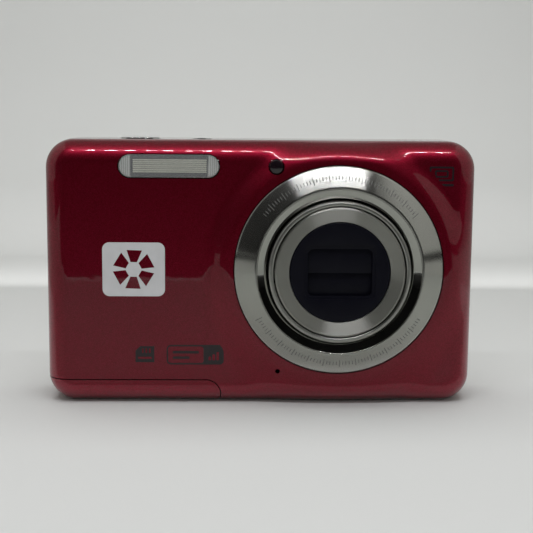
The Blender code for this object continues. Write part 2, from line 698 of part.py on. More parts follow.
def coil_spring(name, depths, centre):
    """Closed-wire torsion spring wound round the hinge pin."""
    curve = bpy.data.curves.new(name, "CURVE")
    curve.dimensions = "3D"
    curve.bevel_depth = SPRING_WIRE_RADIUS
    curve.bevel_resolution = 1
    curve.use_fill_caps = True
    spline = curve.splines.new("POLY")
    per_turn = 12
    count = SPRING_TURNS * per_turn + 1
    spline.points.add(count - 1)
    radius = KNUCKLE_RADIUS - SPRING_WIRE_RADIUS
    for i, point in enumerate(spline.points):
        angle = 2 * math.pi * i / per_turn
        depth = depths[0] + (depths[1] - depths[0]) * i / (count - 1)
        x = centre[0] + radius * math.cos(angle)
        point.co = (x, y_at(depth), centre[2] + radius * math.sin(angle), 1)
    guide = bpy.data.objects.new(name, curve)
    bpy.context.scene.collection.objects.link(guide)
    bpy.context.view_layer.update()
    mesh = bpy.data.meshes.new_from_object(guide.evaluated_get(bpy.context.evaluated_depsgraph_get()))
    bpy.data.objects.remove(guide)
    bm = bmesh.new()
    bm.from_mesh(mesh)
    bmesh.ops.remove_doubles(bm, verts=bm.verts, dist=1e-7)
    bm.to_mesh(mesh)
    bm.free()
    return new_object(name, mesh)


# ---------------------------------------------------------------- lens


def lens_centre():
    """Point where the optical axis meets the plane of the front face."""
    return (LENS_X, y_at(0), LENS_Z)


def lens_trim_ring():
    """Turned metal ring that stands round the barrels."""
    throat = ZOOM_RING_BORE + RUN_GAP
    profile = [
        (TRIM_LIP_RADIUS, TRIM_LIP_HEIGHT),
        (TRIM_LIP_RADIUS + 0.5 * MM, TRIM_LIP_HEIGHT),
        (TRIM_RADIUS - 0.3 * MM, TRIM_EDGE_HEIGHT + 0.2 * MM),
        (TRIM_RADIUS, TRIM_EDGE_HEIGHT - 0.1 * MM),
        (TRIM_RADIUS, GAP),
        (throat, GAP),
        (throat, TRIM_THROAT_HEIGHT),
    ]
    as_part(turned("lens_trim_ring", profile, lens_centre(), "front", closed=True), "satin_metal")


def barrel_profile(outer, wall, height):
    """Plain tube with its front edge eased, from the parked front down to the tail."""
    ease = 0.2 * MM
    inner = outer - wall
    tail = -BARREL_TAIL_DEPTH
    return [(inner + ease, height), (outer - ease, height), (outer, height - ease), (outer, tail),
            (inner, tail), (inner, height - ease)]


def barrels():
    """Both telescoping barrels; the inner one has the satin front rim and a seat for the front lens."""
    outer = barrel_profile(OUTER_BARREL_RADIUS, OUTER_BARREL_WALL, LENS_STANDOFF - 0.05 * MM)
    as_part(turned("outer_barrel", outer, lens_centre(), "front", closed=True), "satin_metal")
    radius, bore = INNER_BARREL_RADIUS, BARREL_BORE_RADIUS
    rim = FRONT_PLATE_RADIUS + RUN_GAP
    seat = FRONT_LENS_RADIUS + GAP
    ease = 0.25 * MM
    profile = [
        (rim, LENS_STANDOFF - ease / 2), (radius - ease, LENS_STANDOFF), (radius, LENS_STANDOFF - ease),
        (radius, -BARREL_TAIL_DEPTH), (bore, -BARREL_TAIL_DEPTH), (bore, 0.4 * MM), (seat, 0.4 * MM),
        (seat, 2.0 * MM), (bore, 2.0 * MM), (bore, LENS_STANDOFF - 0.8 * MM), (rim, LENS_STANDOFF - 0.8 * MM),
    ]
    as_part(turned("inner_barrel", profile, lens_centre(), "front", closed=True), "satin_metal")


def lens_front_plate():
    """Black disc in front of the barrier, with the picture opening and its stepped lip."""
    low, high = LENS_STANDOFF - 0.95 * MM, LENS_STANDOFF - 0.1 * MM
    plate = rod("lens_front_plate", FRONT_PLATE_RADIUS, low, high, lens_centre(), "front", ROUND_STEPS)
    centre = (LENS_X, LENS_Z)
    opening = rounded_rectangle(centre, WINDOW_WIDTH, WINDOW_HEIGHT, WINDOW_CORNER)
    lip = rounded_rectangle(centre, WINDOW_WIDTH + 2 * WINDOW_LIP, WINDOW_HEIGHT + 2 * WINDOW_LIP,
                            WINDOW_CORNER + WINDOW_LIP / 2)
    cut(plate, prism("plate_opening", [opening], -2 * LENS_STANDOFF, 0, "front"))
    cut(plate, prism("plate_lip", [lip], -2 * LENS_STANDOFF, -(LENS_STANDOFF - 0.4 * MM), "front"))
    as_part(plate, "black_plastic")


def barrier_blades():
    """Two sliding blades that shut the opening; each is a segment of the barrel's bore."""
    reach = BARREL_BORE_RADIUS - RUN_GAP
    half = WINDOW_WIDTH / 2 + 0.55 * MM
    front = LENS_STANDOFF - 0.95 * MM - GAP
    for name, side, layer in (("barrier_blade_upper", 1, 0), ("barrier_blade_lower", -1, 1)):
        edge = math.degrees(math.acos(half / reach))
        top = arc((0, -BLADE_TRAVEL), reach, edge, 180 - edge, 16)
        local = top + [(-half, -BLADE_OVERLAP), (half, -BLADE_OVERLAP)]
        outline = [(LENS_X + u, LENS_Z + side * v) for u, v in local]
        high = front - layer * (BLADE_THICKNESS + GAP)
        blade = prism(name, [outline], -high, -high + BLADE_THICKNESS, "front")
        as_part(blade, "black_plastic")


def glass_disc(name, radius, high, low, bulge):
    """Lens element with two round faces and a cylindrical edge."""
    steps = 3
    rise = [(radius * i / steps, bulge * (1 - (i / steps) ** 2)) for i in range(steps + 1)]
    profile = [(r, high - bulge + h) for r, h in rise]
    profile += [(r, low + bulge - h) for r, h in reversed(rise)]
    return turned(name, profile, lens_centre(), "front", steps=SMALL_STEPS)


def lens_elements():
    """Front element, zoom element, and the focusing element in its carriage."""
    as_part(glass_disc("front_lens", FRONT_LENS_RADIUS, 2.3 * MM, 0.1 * MM, 0.6 * MM), "glass")
    zoom = glass_disc("zoom_lens", ZOOM_LENS_RADIUS, -ZOOM_LENS_DEPTH, -ZOOM_LENS_DEPTH - ZOOM_LENS_LENGTH,
                      0.6 * MM)
    as_part(zoom, "glass")
    high, low = -FOCUS_DEPTH, -FOCUS_DEPTH - FOCUS_LENGTH
    bore = FOCUS_LENS_RADIUS + GAP
    profile = [(FOCUS_RADIUS, high), (FOCUS_RADIUS, low), (bore, low), (bore, high)]
    carriage = turned("focus_carriage", profile, lens_centre(), "front", closed=True, steps=32)
    as_part(carriage, "black_plastic")
    as_part(glass_disc("focus_lens", FOCUS_LENS_RADIUS, high - GAP, low + GAP, 0.3 * MM), "glass")


def gear_outline(centre, teeth, phase):
    """Straight-sided gear teeth round a circle; phase turns the gear by that part of one tooth."""
    pitch_radius = GEAR_MODULE * teeth / 2
    outline = []
    step = 2 * math.pi / teeth
    root, tip = pitch_radius - 1.0 * GEAR_MODULE, pitch_radius + 0.7 * GEAR_MODULE
    for i in range(teeth):
        middle = (i + phase) * step
        for radius, part in ((root, -0.25), (tip, -0.13), (tip, 0.13), (root, 0.25)):
            angle = middle + part * step
            outline.append((centre[0] + radius * math.cos(angle), centre[1] + radius * math.sin(angle)))
    return outline


def zoom_drive():
    """Zoom ring with its rim of teeth, the pinion on the motor shaft, and the motor."""
    middle = (LENS_X, LENS_Z)
    outer = ZOOM_RING_BORE + ZOOM_RING_WALL
    gear = (GEAR_DEPTH, GEAR_DEPTH + GEAR_WIDTH)
    ring_phase = (PINION_ANGLE / (2 * math.pi) * RING_TEETH) % 1.0
    ring = prism("zoom_ring", [gear_outline(middle, RING_TEETH, ring_phase)], *gear, "front")
    sleeve = rod("zoom_sleeve", outer, -gear[1], -HOUSING_FRONT_DEPTH - GAP, lens_centre(), "front", ROUND_STEPS)
    join(ring, sleeve)
    bore = rod("zoom_ring_bore", ZOOM_RING_BORE, -BODY_DEPTH, 0, lens_centre(), "front", ROUND_STEPS)
    cut(ring, bore)
    as_part(ring, "black_plastic")
    back = (PINION_ANGLE + math.pi) / (2 * math.pi) * PINION_TEETH
    pinion_phase = (back + 0.5) % 1.0
    teeth = gear_outline((PINION_X, PINION_Z), PINION_TEETH, pinion_phase)
    pinion = prism("zoom_pinion", [teeth], *gear, "front")
    at = (PINION_X, y_at(0), PINION_Z)
    shaft = rod("pinion_shaft", MOTOR_SHAFT_RADIUS, -gear[0] - GAP, -HOUSING_BLOCK_DEPTH + GAP / 2, at, "front")
    join(pinion, shaft)
    as_part(pinion, "black_plastic")
    motor = rod("zoom_motor", MOTOR_RADIUS, -HOUSING_BLOCK_DEPTH + GAP, -HOUSING_FRONT_DEPTH, at, "front")
    as_part(motor, "steel")


def lens_housing():
    """Fixed housing: a tube at the front, a square block with the gear chamber, and the sensor plate."""
    half = HOUSING_HALF
    block = box_at("lens_housing", (LENS_X - half, LENS_X + half), (HOUSING_BLOCK_DEPTH, HOUSING_BACK_DEPTH),
                   (LENS_Z - half, LENS_Z + half))
    tube = rod("housing_tube", HOUSING_BORE + HOUSING_WALL, -HOUSING_BLOCK_DEPTH - GEAR_WEB / 2,
               -HOUSING_FRONT_DEPTH, lens_centre(), "front", ROUND_STEPS)
    join(block, tube, solver="MANIFOLD")
    chamber_start = HOUSING_BLOCK_DEPTH + GEAR_WEB
    chamber_end = HOUSING_BACK_DEPTH - HOUSING_PLATE
    bore = rod("housing_bore", HOUSING_BORE, -chamber_start - GAP, 0, lens_centre(), "front", ROUND_STEPS)
    chamber = rod("gear_chamber", GEAR_CHAMBER_RADIUS, -chamber_end, -chamber_start, lens_centre(), "front",
                  ROUND_STEPS)
    at = (PINION_X, y_at(0), PINION_Z)
    room = PINION_PITCH_RADIUS + 0.7 * GEAR_MODULE + GAP
    pocket = rod("pinion_chamber", room, -chamber_end + GAP / 3, -chamber_start - GAP / 3, at, "front")
    shaft = rod("pinion_shaft_hole", MOTOR_SHAFT_RADIUS + GAP, -BODY_DEPTH / 2 - GAP, 0, at, "front")
    across = (LENS_X - SENSOR_WIDTH / 2 - GAP, LENS_X + SENSOR_WIDTH / 2 + GAP)
    up = (LENS_Z - SENSOR_HEIGHT / 2 - GAP, LENS_Z + SENSOR_HEIGHT / 2 + GAP)
    window = box_at("sensor_window", across, (chamber_end - GAP, BODY_DEPTH), up)
    cut(block, bore, chamber, pocket, shaft, window, solver="MANIFOLD")
    as_part(block, "black_plastic")


# ---------------------------------------------------------------- inside


def sensor_and_boards():
    """Image sensor, its board, the chassis plate, and the display panel with its glass."""
    start = HOUSING_BACK_DEPTH - HOUSING_PLATE + GAP
    across = (LENS_X - SENSOR_WIDTH / 2, LENS_X + SENSOR_WIDTH / 2)
    up = (LENS_Z - SENSOR_HEIGHT / 2, LENS_Z + SENSOR_HEIGHT / 2)
    as_part(box_at("image_sensor", across, (start, start + SENSOR_THICKNESS), up), "glass")
    board = HOUSING_BACK_DEPTH + 1.5 * GAP
    half, rise = SENSOR_BOARD_WIDTH / 2, SENSOR_BOARD_HEIGHT / 2
    as_part(box_at("sensor_board", (LENS_X - half, LENS_X + half), (board, board + BOARD_THICKNESS),
                   (LENS_Z - rise, LENS_Z + rise)), "board_green")
    across, up = lcd_frame()
    beside_card = LEFT + CARD_FROM_LEFT + CARD_WIDTH + 2 * GAP + CARD_SLOT_RAIL
    chassis = box_at("chassis_plate", (beside_card, across[1] - 2 * GAP),
                     (CHASSIS_DEPTH, CHASSIS_DEPTH + CHASSIS_THICKNESS), (up[0], up[1] - 4 * GAP))
    for index, x in enumerate((beside_card + 6 * MM, across[1] - 6 * MM)):
        for row, z in enumerate((up[0] + 6 * MM, up[1] - 8 * MM)):
            name = f"chassis_hole_{index}_{row}"
            cut(chassis, rod(name, 2.0 * MM, -BODY_DEPTH, 0, (x, y_at(0), z), "front", 16))
    as_part(chassis, "steel")
    inset = LCD_PANEL_INSET
    panel_start = CHASSIS_DEPTH + CHASSIS_THICKNESS + GAP
    as_part(box_at("lcd_panel", (across[0] + inset, across[1] - inset),
                   (panel_start, panel_start + LCD_PANEL_THICKNESS), (up[0] + GAP, up[1] - inset)), "grey_plastic")
    glass_end = BODY_DEPTH - 0.05 * MM
    as_part(box_at("lcd_glass", across, (glass_end - LCD_GLASS_THICKNESS, glass_end), up), "glass")


def battery_bay():
    """Battery in its holder with the contacts and latch, and the card in its slot."""
    across = (BATTERY_LEFT, BATTERY_RIGHT)
    deep = (BATTERY_DEPTH, BATTERY_DEPTH + BATTERY_THICKNESS)
    up = (BATTERY_BOTTOM, BATTERY_TOP)
    as_part(box_at("battery", across, deep, up, bevel=0.6 * MM), "battery_grey")
    out = GAP + HOLDER_WALL
    web_bottom = HINGE_Z + DOOR_END_RADIUS + GAP
    holder = box_at("battery_holder", (across[0] - out, across[1] + out), (deep[0] - out, deep[1] + out),
                    (up[0] - GAP, up[1] + out))
    room = box_at("battery_room", (across[0] - GAP, across[1] + GAP), (deep[0] - GAP, deep[1] + GAP),
                  (-WALL, up[1] + GAP))
    cut(holder, room, solver="MANIFOLD")
    neck = LUG_NECK
    for index, span in enumerate(lug_spans()):
        eye = prism(f"lug_eye_{index}", [circle((HINGE_X, HINGE_Z), KNUCKLE_RADIUS)], *span, "front")
        post = box_at(f"lug_post_{index}", (HINGE_X - neck, HINGE_X + neck), span,
                      (HINGE_Z + KNUCKLE_RADIUS / 2, web_bottom + neck))
        web = box_at(f"lug_web_{index}", (HINGE_X - neck, across[1] + out), span, (web_bottom, up[0] - GAP))
        side = box_at(f"lug_side_{index}", (across[1] + GAP, across[1] + out), span, (web_bottom, up[0] + MM))
        join(holder, side, web, post, eye, solver="MANIFOLD")
    pin_hole = prism("pin_hole", [circle((HINGE_X, HINGE_Z), KNUCKLE_BORE)], 0, BODY_DEPTH, "front")
    cut(holder, pin_hole, solver="MANIFOLD")
    vent = (across[0] + across[1]) / 2
    opening = box_at("contact_window", (vent - 7 * MM, vent + 7 * MM), (deep[0] + MM, deep[1] - MM),
                     (up[1], up[1] + MM + out))
    cut(holder, opening, solver="MANIFOLD")
    as_part(holder, "black_plastic")
    as_part(box_at("battery_contacts", (vent - 6 * MM, vent + 6 * MM), (deep[0] + 1.5 * MM, deep[1] - 1.5 * MM),
                   (up[1] + GAP, up[1] + 1.6 * MM)), "brass")
    as_part(box_at("battery_latch", (across[0] + 18 * MM, across[0] + 25 * MM),
                   (deep[1] - 1.8 * MM, deep[1] + 3.0 * MM), (web_bottom, up[0] - 2 * GAP), bevel=0.15 * MM),
            "amber_plastic")
    card_left = LEFT + CARD_FROM_LEFT
    card_deep = (CARD_DEPTH, CARD_DEPTH + CARD_THICKNESS)
    card_up = (BATTERY_BOTTOM, BATTERY_BOTTOM + CARD_HEIGHT)
    notch = 4.0 * MM
    outline = [(card_left, card_up[0]), (card_left + CARD_WIDTH, card_up[0]), (card_left + CARD_WIDTH, card_up[1]),
               (card_left + notch, card_up[1]), (card_left, card_up[1] - notch)]
    as_part(prism("memory_card", [outline], *card_deep, "front"), "card_blue")
    side = CARD_SLOT_RAIL
    low = (card_left - GAP - side, card_up[0] + MM)
    high = (card_left + CARD_WIDTH + GAP + side, card_up[1] + GAP + side)
    slot = box_at("card_slot", (low[0], high[0]), card_deep, (low[1], high[1]))
    cut(slot, box_at("card_room", (card_left - GAP, card_left + CARD_WIDTH + GAP), (0, BODY_DEPTH),
                     (0, card_up[1] + GAP)))
    as_part(slot, "steel")
    board = deep[1] + out + GAP
    as_part(box_at("main_board", (across[0] - GAP, across[1] + MM), (board, board + 2 * GAP),
                   (up[0], TOP_BOARD_Z - 2 * GAP)), "board_green")


def flash_unit():
    """Flash window, reflector, tube and capacitor, and the focus lamp's lens."""
    x, z = LEFT + FLASH_FROM_LEFT, TOP - FLASH_FROM_TOP
    stadium = rounded_rectangle((x, z), FLASH_WIDTH, FLASH_HEIGHT, FLASH_HEIGHT / 2, 8)
    window = prism("flash_window", [stadium], -WALL, WALL, "front")
    combine(window, body_block("flash_flush", 0.0), "INTERSECT")
    as_part(window, "clear_plastic")
    start, half, deep = WALL + 2 * GAP, REFLECTOR_HALF_HEIGHT, REFLECTOR_LENGTH
    wall = REFLECTOR_WALL
    steps = 12
    outline = []
    for scale in (0.0, wall):
        bend = []
        for i in range(steps + 1):
            angle = math.pi * i / steps
            bend.append((y_at(start + (deep - scale) * math.sin(angle)), z + (half - scale) * math.cos(angle)))
        outline += bend if scale == 0.0 else list(reversed(bend))
    length = FLASH_WIDTH - 1.5 * MM
    as_part(prism("flash_reflector", [outline], x - length / 2, x + length / 2, "right"), "chrome")
    tube = (x, y_at(start + deep / 2), z)
    reach = length / 2 - MM
    as_part(rod("flash_tube", FLASH_TUBE_RADIUS, -reach, reach, tube, "right", 16), "glass")
    foot = PORT_BOTTOM + PORT_HEIGHT + 2.5 * MM
    can = (RIGHT - CAPACITOR_FROM_RIGHT, y_at(BATTERY_DEPTH + CAPACITOR_RADIUS), foot)
    as_part(rod("flash_capacitor", CAPACITOR_RADIUS, 0, CAPACITOR_LENGTH, can, "up"), "battery_grey")
    lamp = (LEFT + LAMP_FROM_LEFT, y_at(0), TOP - LAMP_FROM_TOP)
    crown = FLARE_HEIGHT - 0.1 * MM
    profile = [(0, crown), (0.8 * LAMP_RADIUS, crown - 0.1 * MM), (LAMP_RADIUS, crown - 0.4 * MM),
               (LAMP_RADIUS, -WALL), (0, -WALL)]
    as_part(turned("af_lamp_lens", profile, lamp, "front", steps=SMALL_STEPS), "black_plastic")


# ---------------------------------------------------------------- controls


def flanged_button(outline, flange_outline, span, flange_span, name, facing):
    """Button cap with a wider flange that keeps it inside the casing."""
    cap = prism(name, [outline], *span, facing)
    join(cap, prism(name + "_flange", [flange_outline], *flange_span, facing))
    return cap


def top_controls():
    """Shutter release and power button, their switches and the board under them."""
    y = y_at(TOP_BUTTON_DEPTH)
    cap = (TOP - WALL - FLANGE_THICKNESS / 2, TOP + TOP_STANDOFF)
    flange = (TOP - WALL - GAP - FLANGE_THICKNESS, TOP - WALL - GAP)
    switch_top = TOP_BOARD_Z + GAP + SWITCH_HEIGHT
    outlines = []
    for grow in (0.0, FLANGE):
        radius = SHUTTER_DEPTH / 2 + grow
        outlines.append(rounded_rectangle((SHUTTER_X, y), SHUTTER_WIDTH + 2 * grow, 2 * radius, radius, 8))
    shutter = flanged_button(*outlines, cap, flange, "shutter_button", "up")
    stem_foot = switch_top + SHUTTER_TRAVEL + GAP
    join(shutter, rod("shutter_stem", 1.2 * MM, stem_foot, flange[1] - GAP, (SHUTTER_X, y, 0), "up"))
    as_part(shutter, "chrome")
    outlines = [circle((POWER_X, y), POWER_RADIUS + grow) for grow in (0.0, FLANGE)]
    power = flanged_button(*outlines, (cap[0], TOP + TOP_STANDOFF / 2), flange, "power_button", "up")
    join(power, rod("power_stem", 0.9 * MM, stem_foot, flange[1] - GAP, (POWER_X, y, 0), "up"))
    as_part(power, "chrome")
    for name, x in (("shutter_switch", SHUTTER_X), ("power_switch", POWER_X)):
        half = 1.8 * MM
        switch = box(name, (x - half, y - half, TOP_BOARD_Z + GAP), (x + half, y + half, switch_top - 0.3 * MM))
        join(switch, rod(name + "_plunger", 0.8 * MM, TOP_BOARD_Z + 2 * GAP, switch_top, (x, y, 0), "up", 16))
        as_part(switch, "black_plastic")
    as_part(box("top_board", (SHUTTER_X - 5.6 * MM, y - 2.6 * MM, TOP_BOARD_Z - BOARD_THICKNESS),
                (POWER_X + 4.1 * MM, y + 3.0 * MM, TOP_BOARD_Z)), "board_green")


def rear_controls():
    """Zoom rocker, round buttons, navigation ring with its pivot plate, centre button and board."""
    bottom = BUTTON_BOTTOM_DEPTH
    flange_end = REAR_INNER_DEPTH - 1.5 * GAP
    for name, centre in rear_button_centres().items():
        button = flanged_button(circle(centre, BUTTON_RADIUS), circle(centre, BUTTON_RADIUS + FLANGE),
                                (bottom, REAR_FACE_DEPTH), (bottom, flange_end), name, "front")
        as_part(button, "satin_metal")
    slot = rounded_rectangle((NAV_X, ROCKER_Z), ROCKER_WIDTH, ROCKER_HEIGHT, ROCKER_HEIGHT / 2, 8)
    as_part(prism("zoom_rocker", [slot], bottom, REAR_FACE_DEPTH, "front"), "satin_metal")
    centre = (NAV_X, NAV_HEIGHT)
    ring_flange = (bottom, REAR_INNER_DEPTH - 2 * GAP)
    hole = circle(centre, NAV_HOLE_RADIUS)
    ring = prism("nav_ring", [circle(centre, NAV_RADIUS, 32), hole], bottom, REAR_FACE_DEPTH, "front")
    join(ring, prism("nav_flange", [circle(centre, NAV_RADIUS + FLANGE, 32), hole], *ring_flange, "front"))
    as_part(ring, "satin_metal")
    plate_end = bottom - 1.4 * GAP
    plate = prism("nav_pivot_plate", [circle(centre, NAV_PLATE_RADIUS), circle(centre, NAV_HOLE_RADIUS)],
                  plate_end - 0.2 * MM, plate_end, "front")
    as_part(plate, "steel")
    as_part(prism("set_button", [circle(centre, SET_RADIUS, 32)], bottom, REAR_FACE_DEPTH - 0.1 * MM, "front"),
            "satin_metal")
    board_end = BUTTON_BOARD_DEPTH + BUTTON_BOARD_THICKNESS
    low = (LEFT + STRAP_RECESS + STRAP_POCKET_WALL + GAP + 0.1 * MM, BATTERY_BOTTOM + GAP)
    high = (LEFT + LCD_FROM_LEFT - GAP, ROCKER_Z + ROCKER_HEIGHT)
    board = box_at("button_board", (low[0], high[0]), (BUTTON_BOARD_DEPTH, board_end), (low[1], high[1]))
    for name, (x, z) in rear_button_centres().items():
        place_of_dome = (x, y_at(0), z)
        join(board, rod(name + "_dome", 1.2 * MM, -board_end - DOME_HEIGHT, -board_end + GAP / 3, place_of_dome,
                        "front", 16))
    as_part(board, "board_green")
    led = (NAV_X + BUTTON_COLUMN, y_at(0), UPPER_BUTTON_HEIGHT)
    as_part(rod("status_led", LED_RADIUS, -BODY_DEPTH, -bottom, led, "front", 16), "amber_plastic")


# ---------------------------------------------------------------- fittings


def fittings():
    """Strap bar, socket, loudspeaker, tripod bush and casing screws."""
    bar = (LEFT + STRAP_BAR_RADIUS + GAP, y_at(STRAP_RECESS_DEPTH + STRAP_RECESS_WIDTH / 2), 0)
    as_part(rod("strap_bar", STRAP_BAR_RADIUS, STRAP_BOTTOM + GAP, STRAP_BOTTOM + STRAP_HEIGHT - GAP, bar, "up"),
            "chrome")
    low = (PORT_DEPTH, PORT_BOTTOM)
    high = (PORT_DEPTH + PORT_THICKNESS, PORT_BOTTOM + PORT_HEIGHT)
    end = RIGHT - 0.2 * MM
    port = box_at("usb_port", (end - PORT_LENGTH, end), (low[0], high[0]), (low[1], high[1]))
    wall = PORT_WALL
    cut(port, box_at("port_mouth", (end - PORT_LENGTH + MM, end + MM), (low[0] + wall, high[0] - wall),
                     (low[1] + wall, high[1] - wall)))
    middle = (low[0] + high[0]) / 2
    join(port, box_at("port_tongue", (end - PORT_LENGTH + MM / 2, end - MM), (middle - wall, middle + wall),
                      (low[1] + 3 * wall, high[1] - 3 * wall)))
    as_part(port, "steel")
    speaker_top = TOP - WALL - 1.5 * GAP
    speaker = (RIGHT - SPEAKER_FROM_RIGHT, y_at(TOP_BUTTON_DEPTH), speaker_top)
    profile = [(0, -0.5 * MM), (0.7 * SPEAKER_RADIUS, 0), (SPEAKER_RADIUS, 0), (SPEAKER_RADIUS, -SPEAKER_HEIGHT),
               (0, -SPEAKER_HEIGHT)]
    as_part(turned("speaker", profile, speaker, "up", steps=SMALL_STEPS), "black_plastic")
    bush = (LENS_X + BUSH_RIGHT_OF_LENS, y_at(TOP_BUTTON_DEPTH), 0)
    shelf = WALL + GAP
    face = 0.05 * MM
    profile = [
        (0, BUSH_HEIGHT), (BUSH_RADIUS, BUSH_HEIGHT), (BUSH_RADIUS, shelf + MM), (BUSH_FLANGE_RADIUS, shelf + MM),
        (BUSH_FLANGE_RADIUS, shelf), (BUSH_RADIUS, shelf), (BUSH_RADIUS, face), (BUSH_HOLE_RADIUS, face),
        (BUSH_HOLE_RADIUS, BUSH_HOLE_LENGTH), (0, BUSH_HOLE_LENGTH),
    ]
    as_part(turned("tripod_bush", profile, bush, "up", steps=SMALL_STEPS), "brass")
    for name, place_of_head, facing in screw_places():
        head, shank, seat = SCREW_HEAD_RADIUS, SCREW_SHANK_RADIUS, -SCREW_HEAD_HEIGHT
        profile = [(0, 0), (head, 0), (head, seat), (shank, seat), (shank, -SCREW_LENGTH), (0, -SCREW_LENGTH)]
        screw = turned(name, profile, place_of_head, facing, steps=SMALL_STEPS)
        cross = rod(name + "_recess", 0.5 * MM, -0.25 * MM, MM, place_of_head, facing, 6)
        as_part(cut(screw, cross), "steel")


def smooth_round_faces():
    """Shade the curved faces of every part smooth, with an edge where two faces meet at an angle."""
    bpy.context.view_layer.update()
    graph = bpy.context.evaluated_depsgraph_get()
    settled = []
    for obj in PARTS.objects:
        settled.append((obj, bpy.data.meshes.new_from_object(obj.evaluated_get(graph))))
    for obj, mesh in settled:
        obj.modifiers.clear()
        obj.data = mesh
        mesh.shade_smooth()
        mesh.set_sharp_from_angle(angle=math.radians(30))


def main():
    """Build the whole camera."""
    front_shell()
    rear_shell()
    battery_door()
    door_hinge()
    lens_trim_ring()
    barrels()
    lens_front_plate()
    barrier_blades()
    lens_elements()
    zoom_drive()
    lens_housing()
    sensor_and_boards()
    battery_bay()
    flash_unit()
    top_controls()
    rear_controls()
    fittings()
    smooth_round_faces()


main()
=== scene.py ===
"""Finished look of a compact digital camera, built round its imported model.

Each class makes one group of the camera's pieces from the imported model's own boxes and dresses it in its
finish. Lengths are metres in the model's frame: +X right, -Y the way the lens looks, +Z up.
"""
import logging
import math
from collections.abc import Sequence
from dataclasses import dataclass, field, replace
from enum import Enum

import bmesh
import bpy
from mathutils import Matrix, Vector

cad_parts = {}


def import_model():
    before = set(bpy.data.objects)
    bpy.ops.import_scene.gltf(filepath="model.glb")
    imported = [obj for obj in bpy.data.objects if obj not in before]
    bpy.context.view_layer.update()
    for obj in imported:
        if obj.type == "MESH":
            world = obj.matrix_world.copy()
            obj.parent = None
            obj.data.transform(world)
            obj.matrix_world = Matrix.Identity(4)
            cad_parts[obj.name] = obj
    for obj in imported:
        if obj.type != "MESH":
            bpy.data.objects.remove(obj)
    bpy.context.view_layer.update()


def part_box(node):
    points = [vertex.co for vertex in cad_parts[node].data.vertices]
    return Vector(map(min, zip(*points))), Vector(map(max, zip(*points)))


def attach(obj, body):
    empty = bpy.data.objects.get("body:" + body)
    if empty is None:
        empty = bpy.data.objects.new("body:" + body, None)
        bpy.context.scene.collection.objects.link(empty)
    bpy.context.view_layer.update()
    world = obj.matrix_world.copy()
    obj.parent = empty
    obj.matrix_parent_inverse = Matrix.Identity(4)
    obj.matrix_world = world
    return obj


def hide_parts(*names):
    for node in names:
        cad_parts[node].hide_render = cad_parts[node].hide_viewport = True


LOG = logging.getLogger("camera")
MM = 0.001

Outline = list[tuple[float, float]]


class Facing(Enum):
    """Way that a shape drawn flat with its thickness along Z is turned to look."""

    UP = "up"
    DOWN = "down"
    FRONT = "front"
    BACK = "back"
    RIGHT = "right"

    def matrix(self) -> Matrix:
        """Rotation that turns local Z to this way."""
        if self is Facing.DOWN:
            return Matrix.Rotation(math.pi, 4, "X")
        if self is Facing.FRONT:
            return Matrix.Rotation(math.pi / 2, 4, "X")
        if self is Facing.BACK:
            return Matrix(((-1, 0, 0, 0), (0, 0, 1, 0), (0, 1, 0, 0), (0, 0, 0, 1)))
        if self is Facing.RIGHT:
            return Matrix(((0, 0, 1, 0), (1, 0, 0, 0), (0, 1, 0, 0), (0, 0, 0, 1)))
        return Matrix.Identity(4)


class Cut(Enum):
    """How two solids are combined."""

    AWAY = "DIFFERENCE"
    KEEP = "INTERSECT"
    JOIN = "UNION"


# ---------------------------------------------------------------- materials


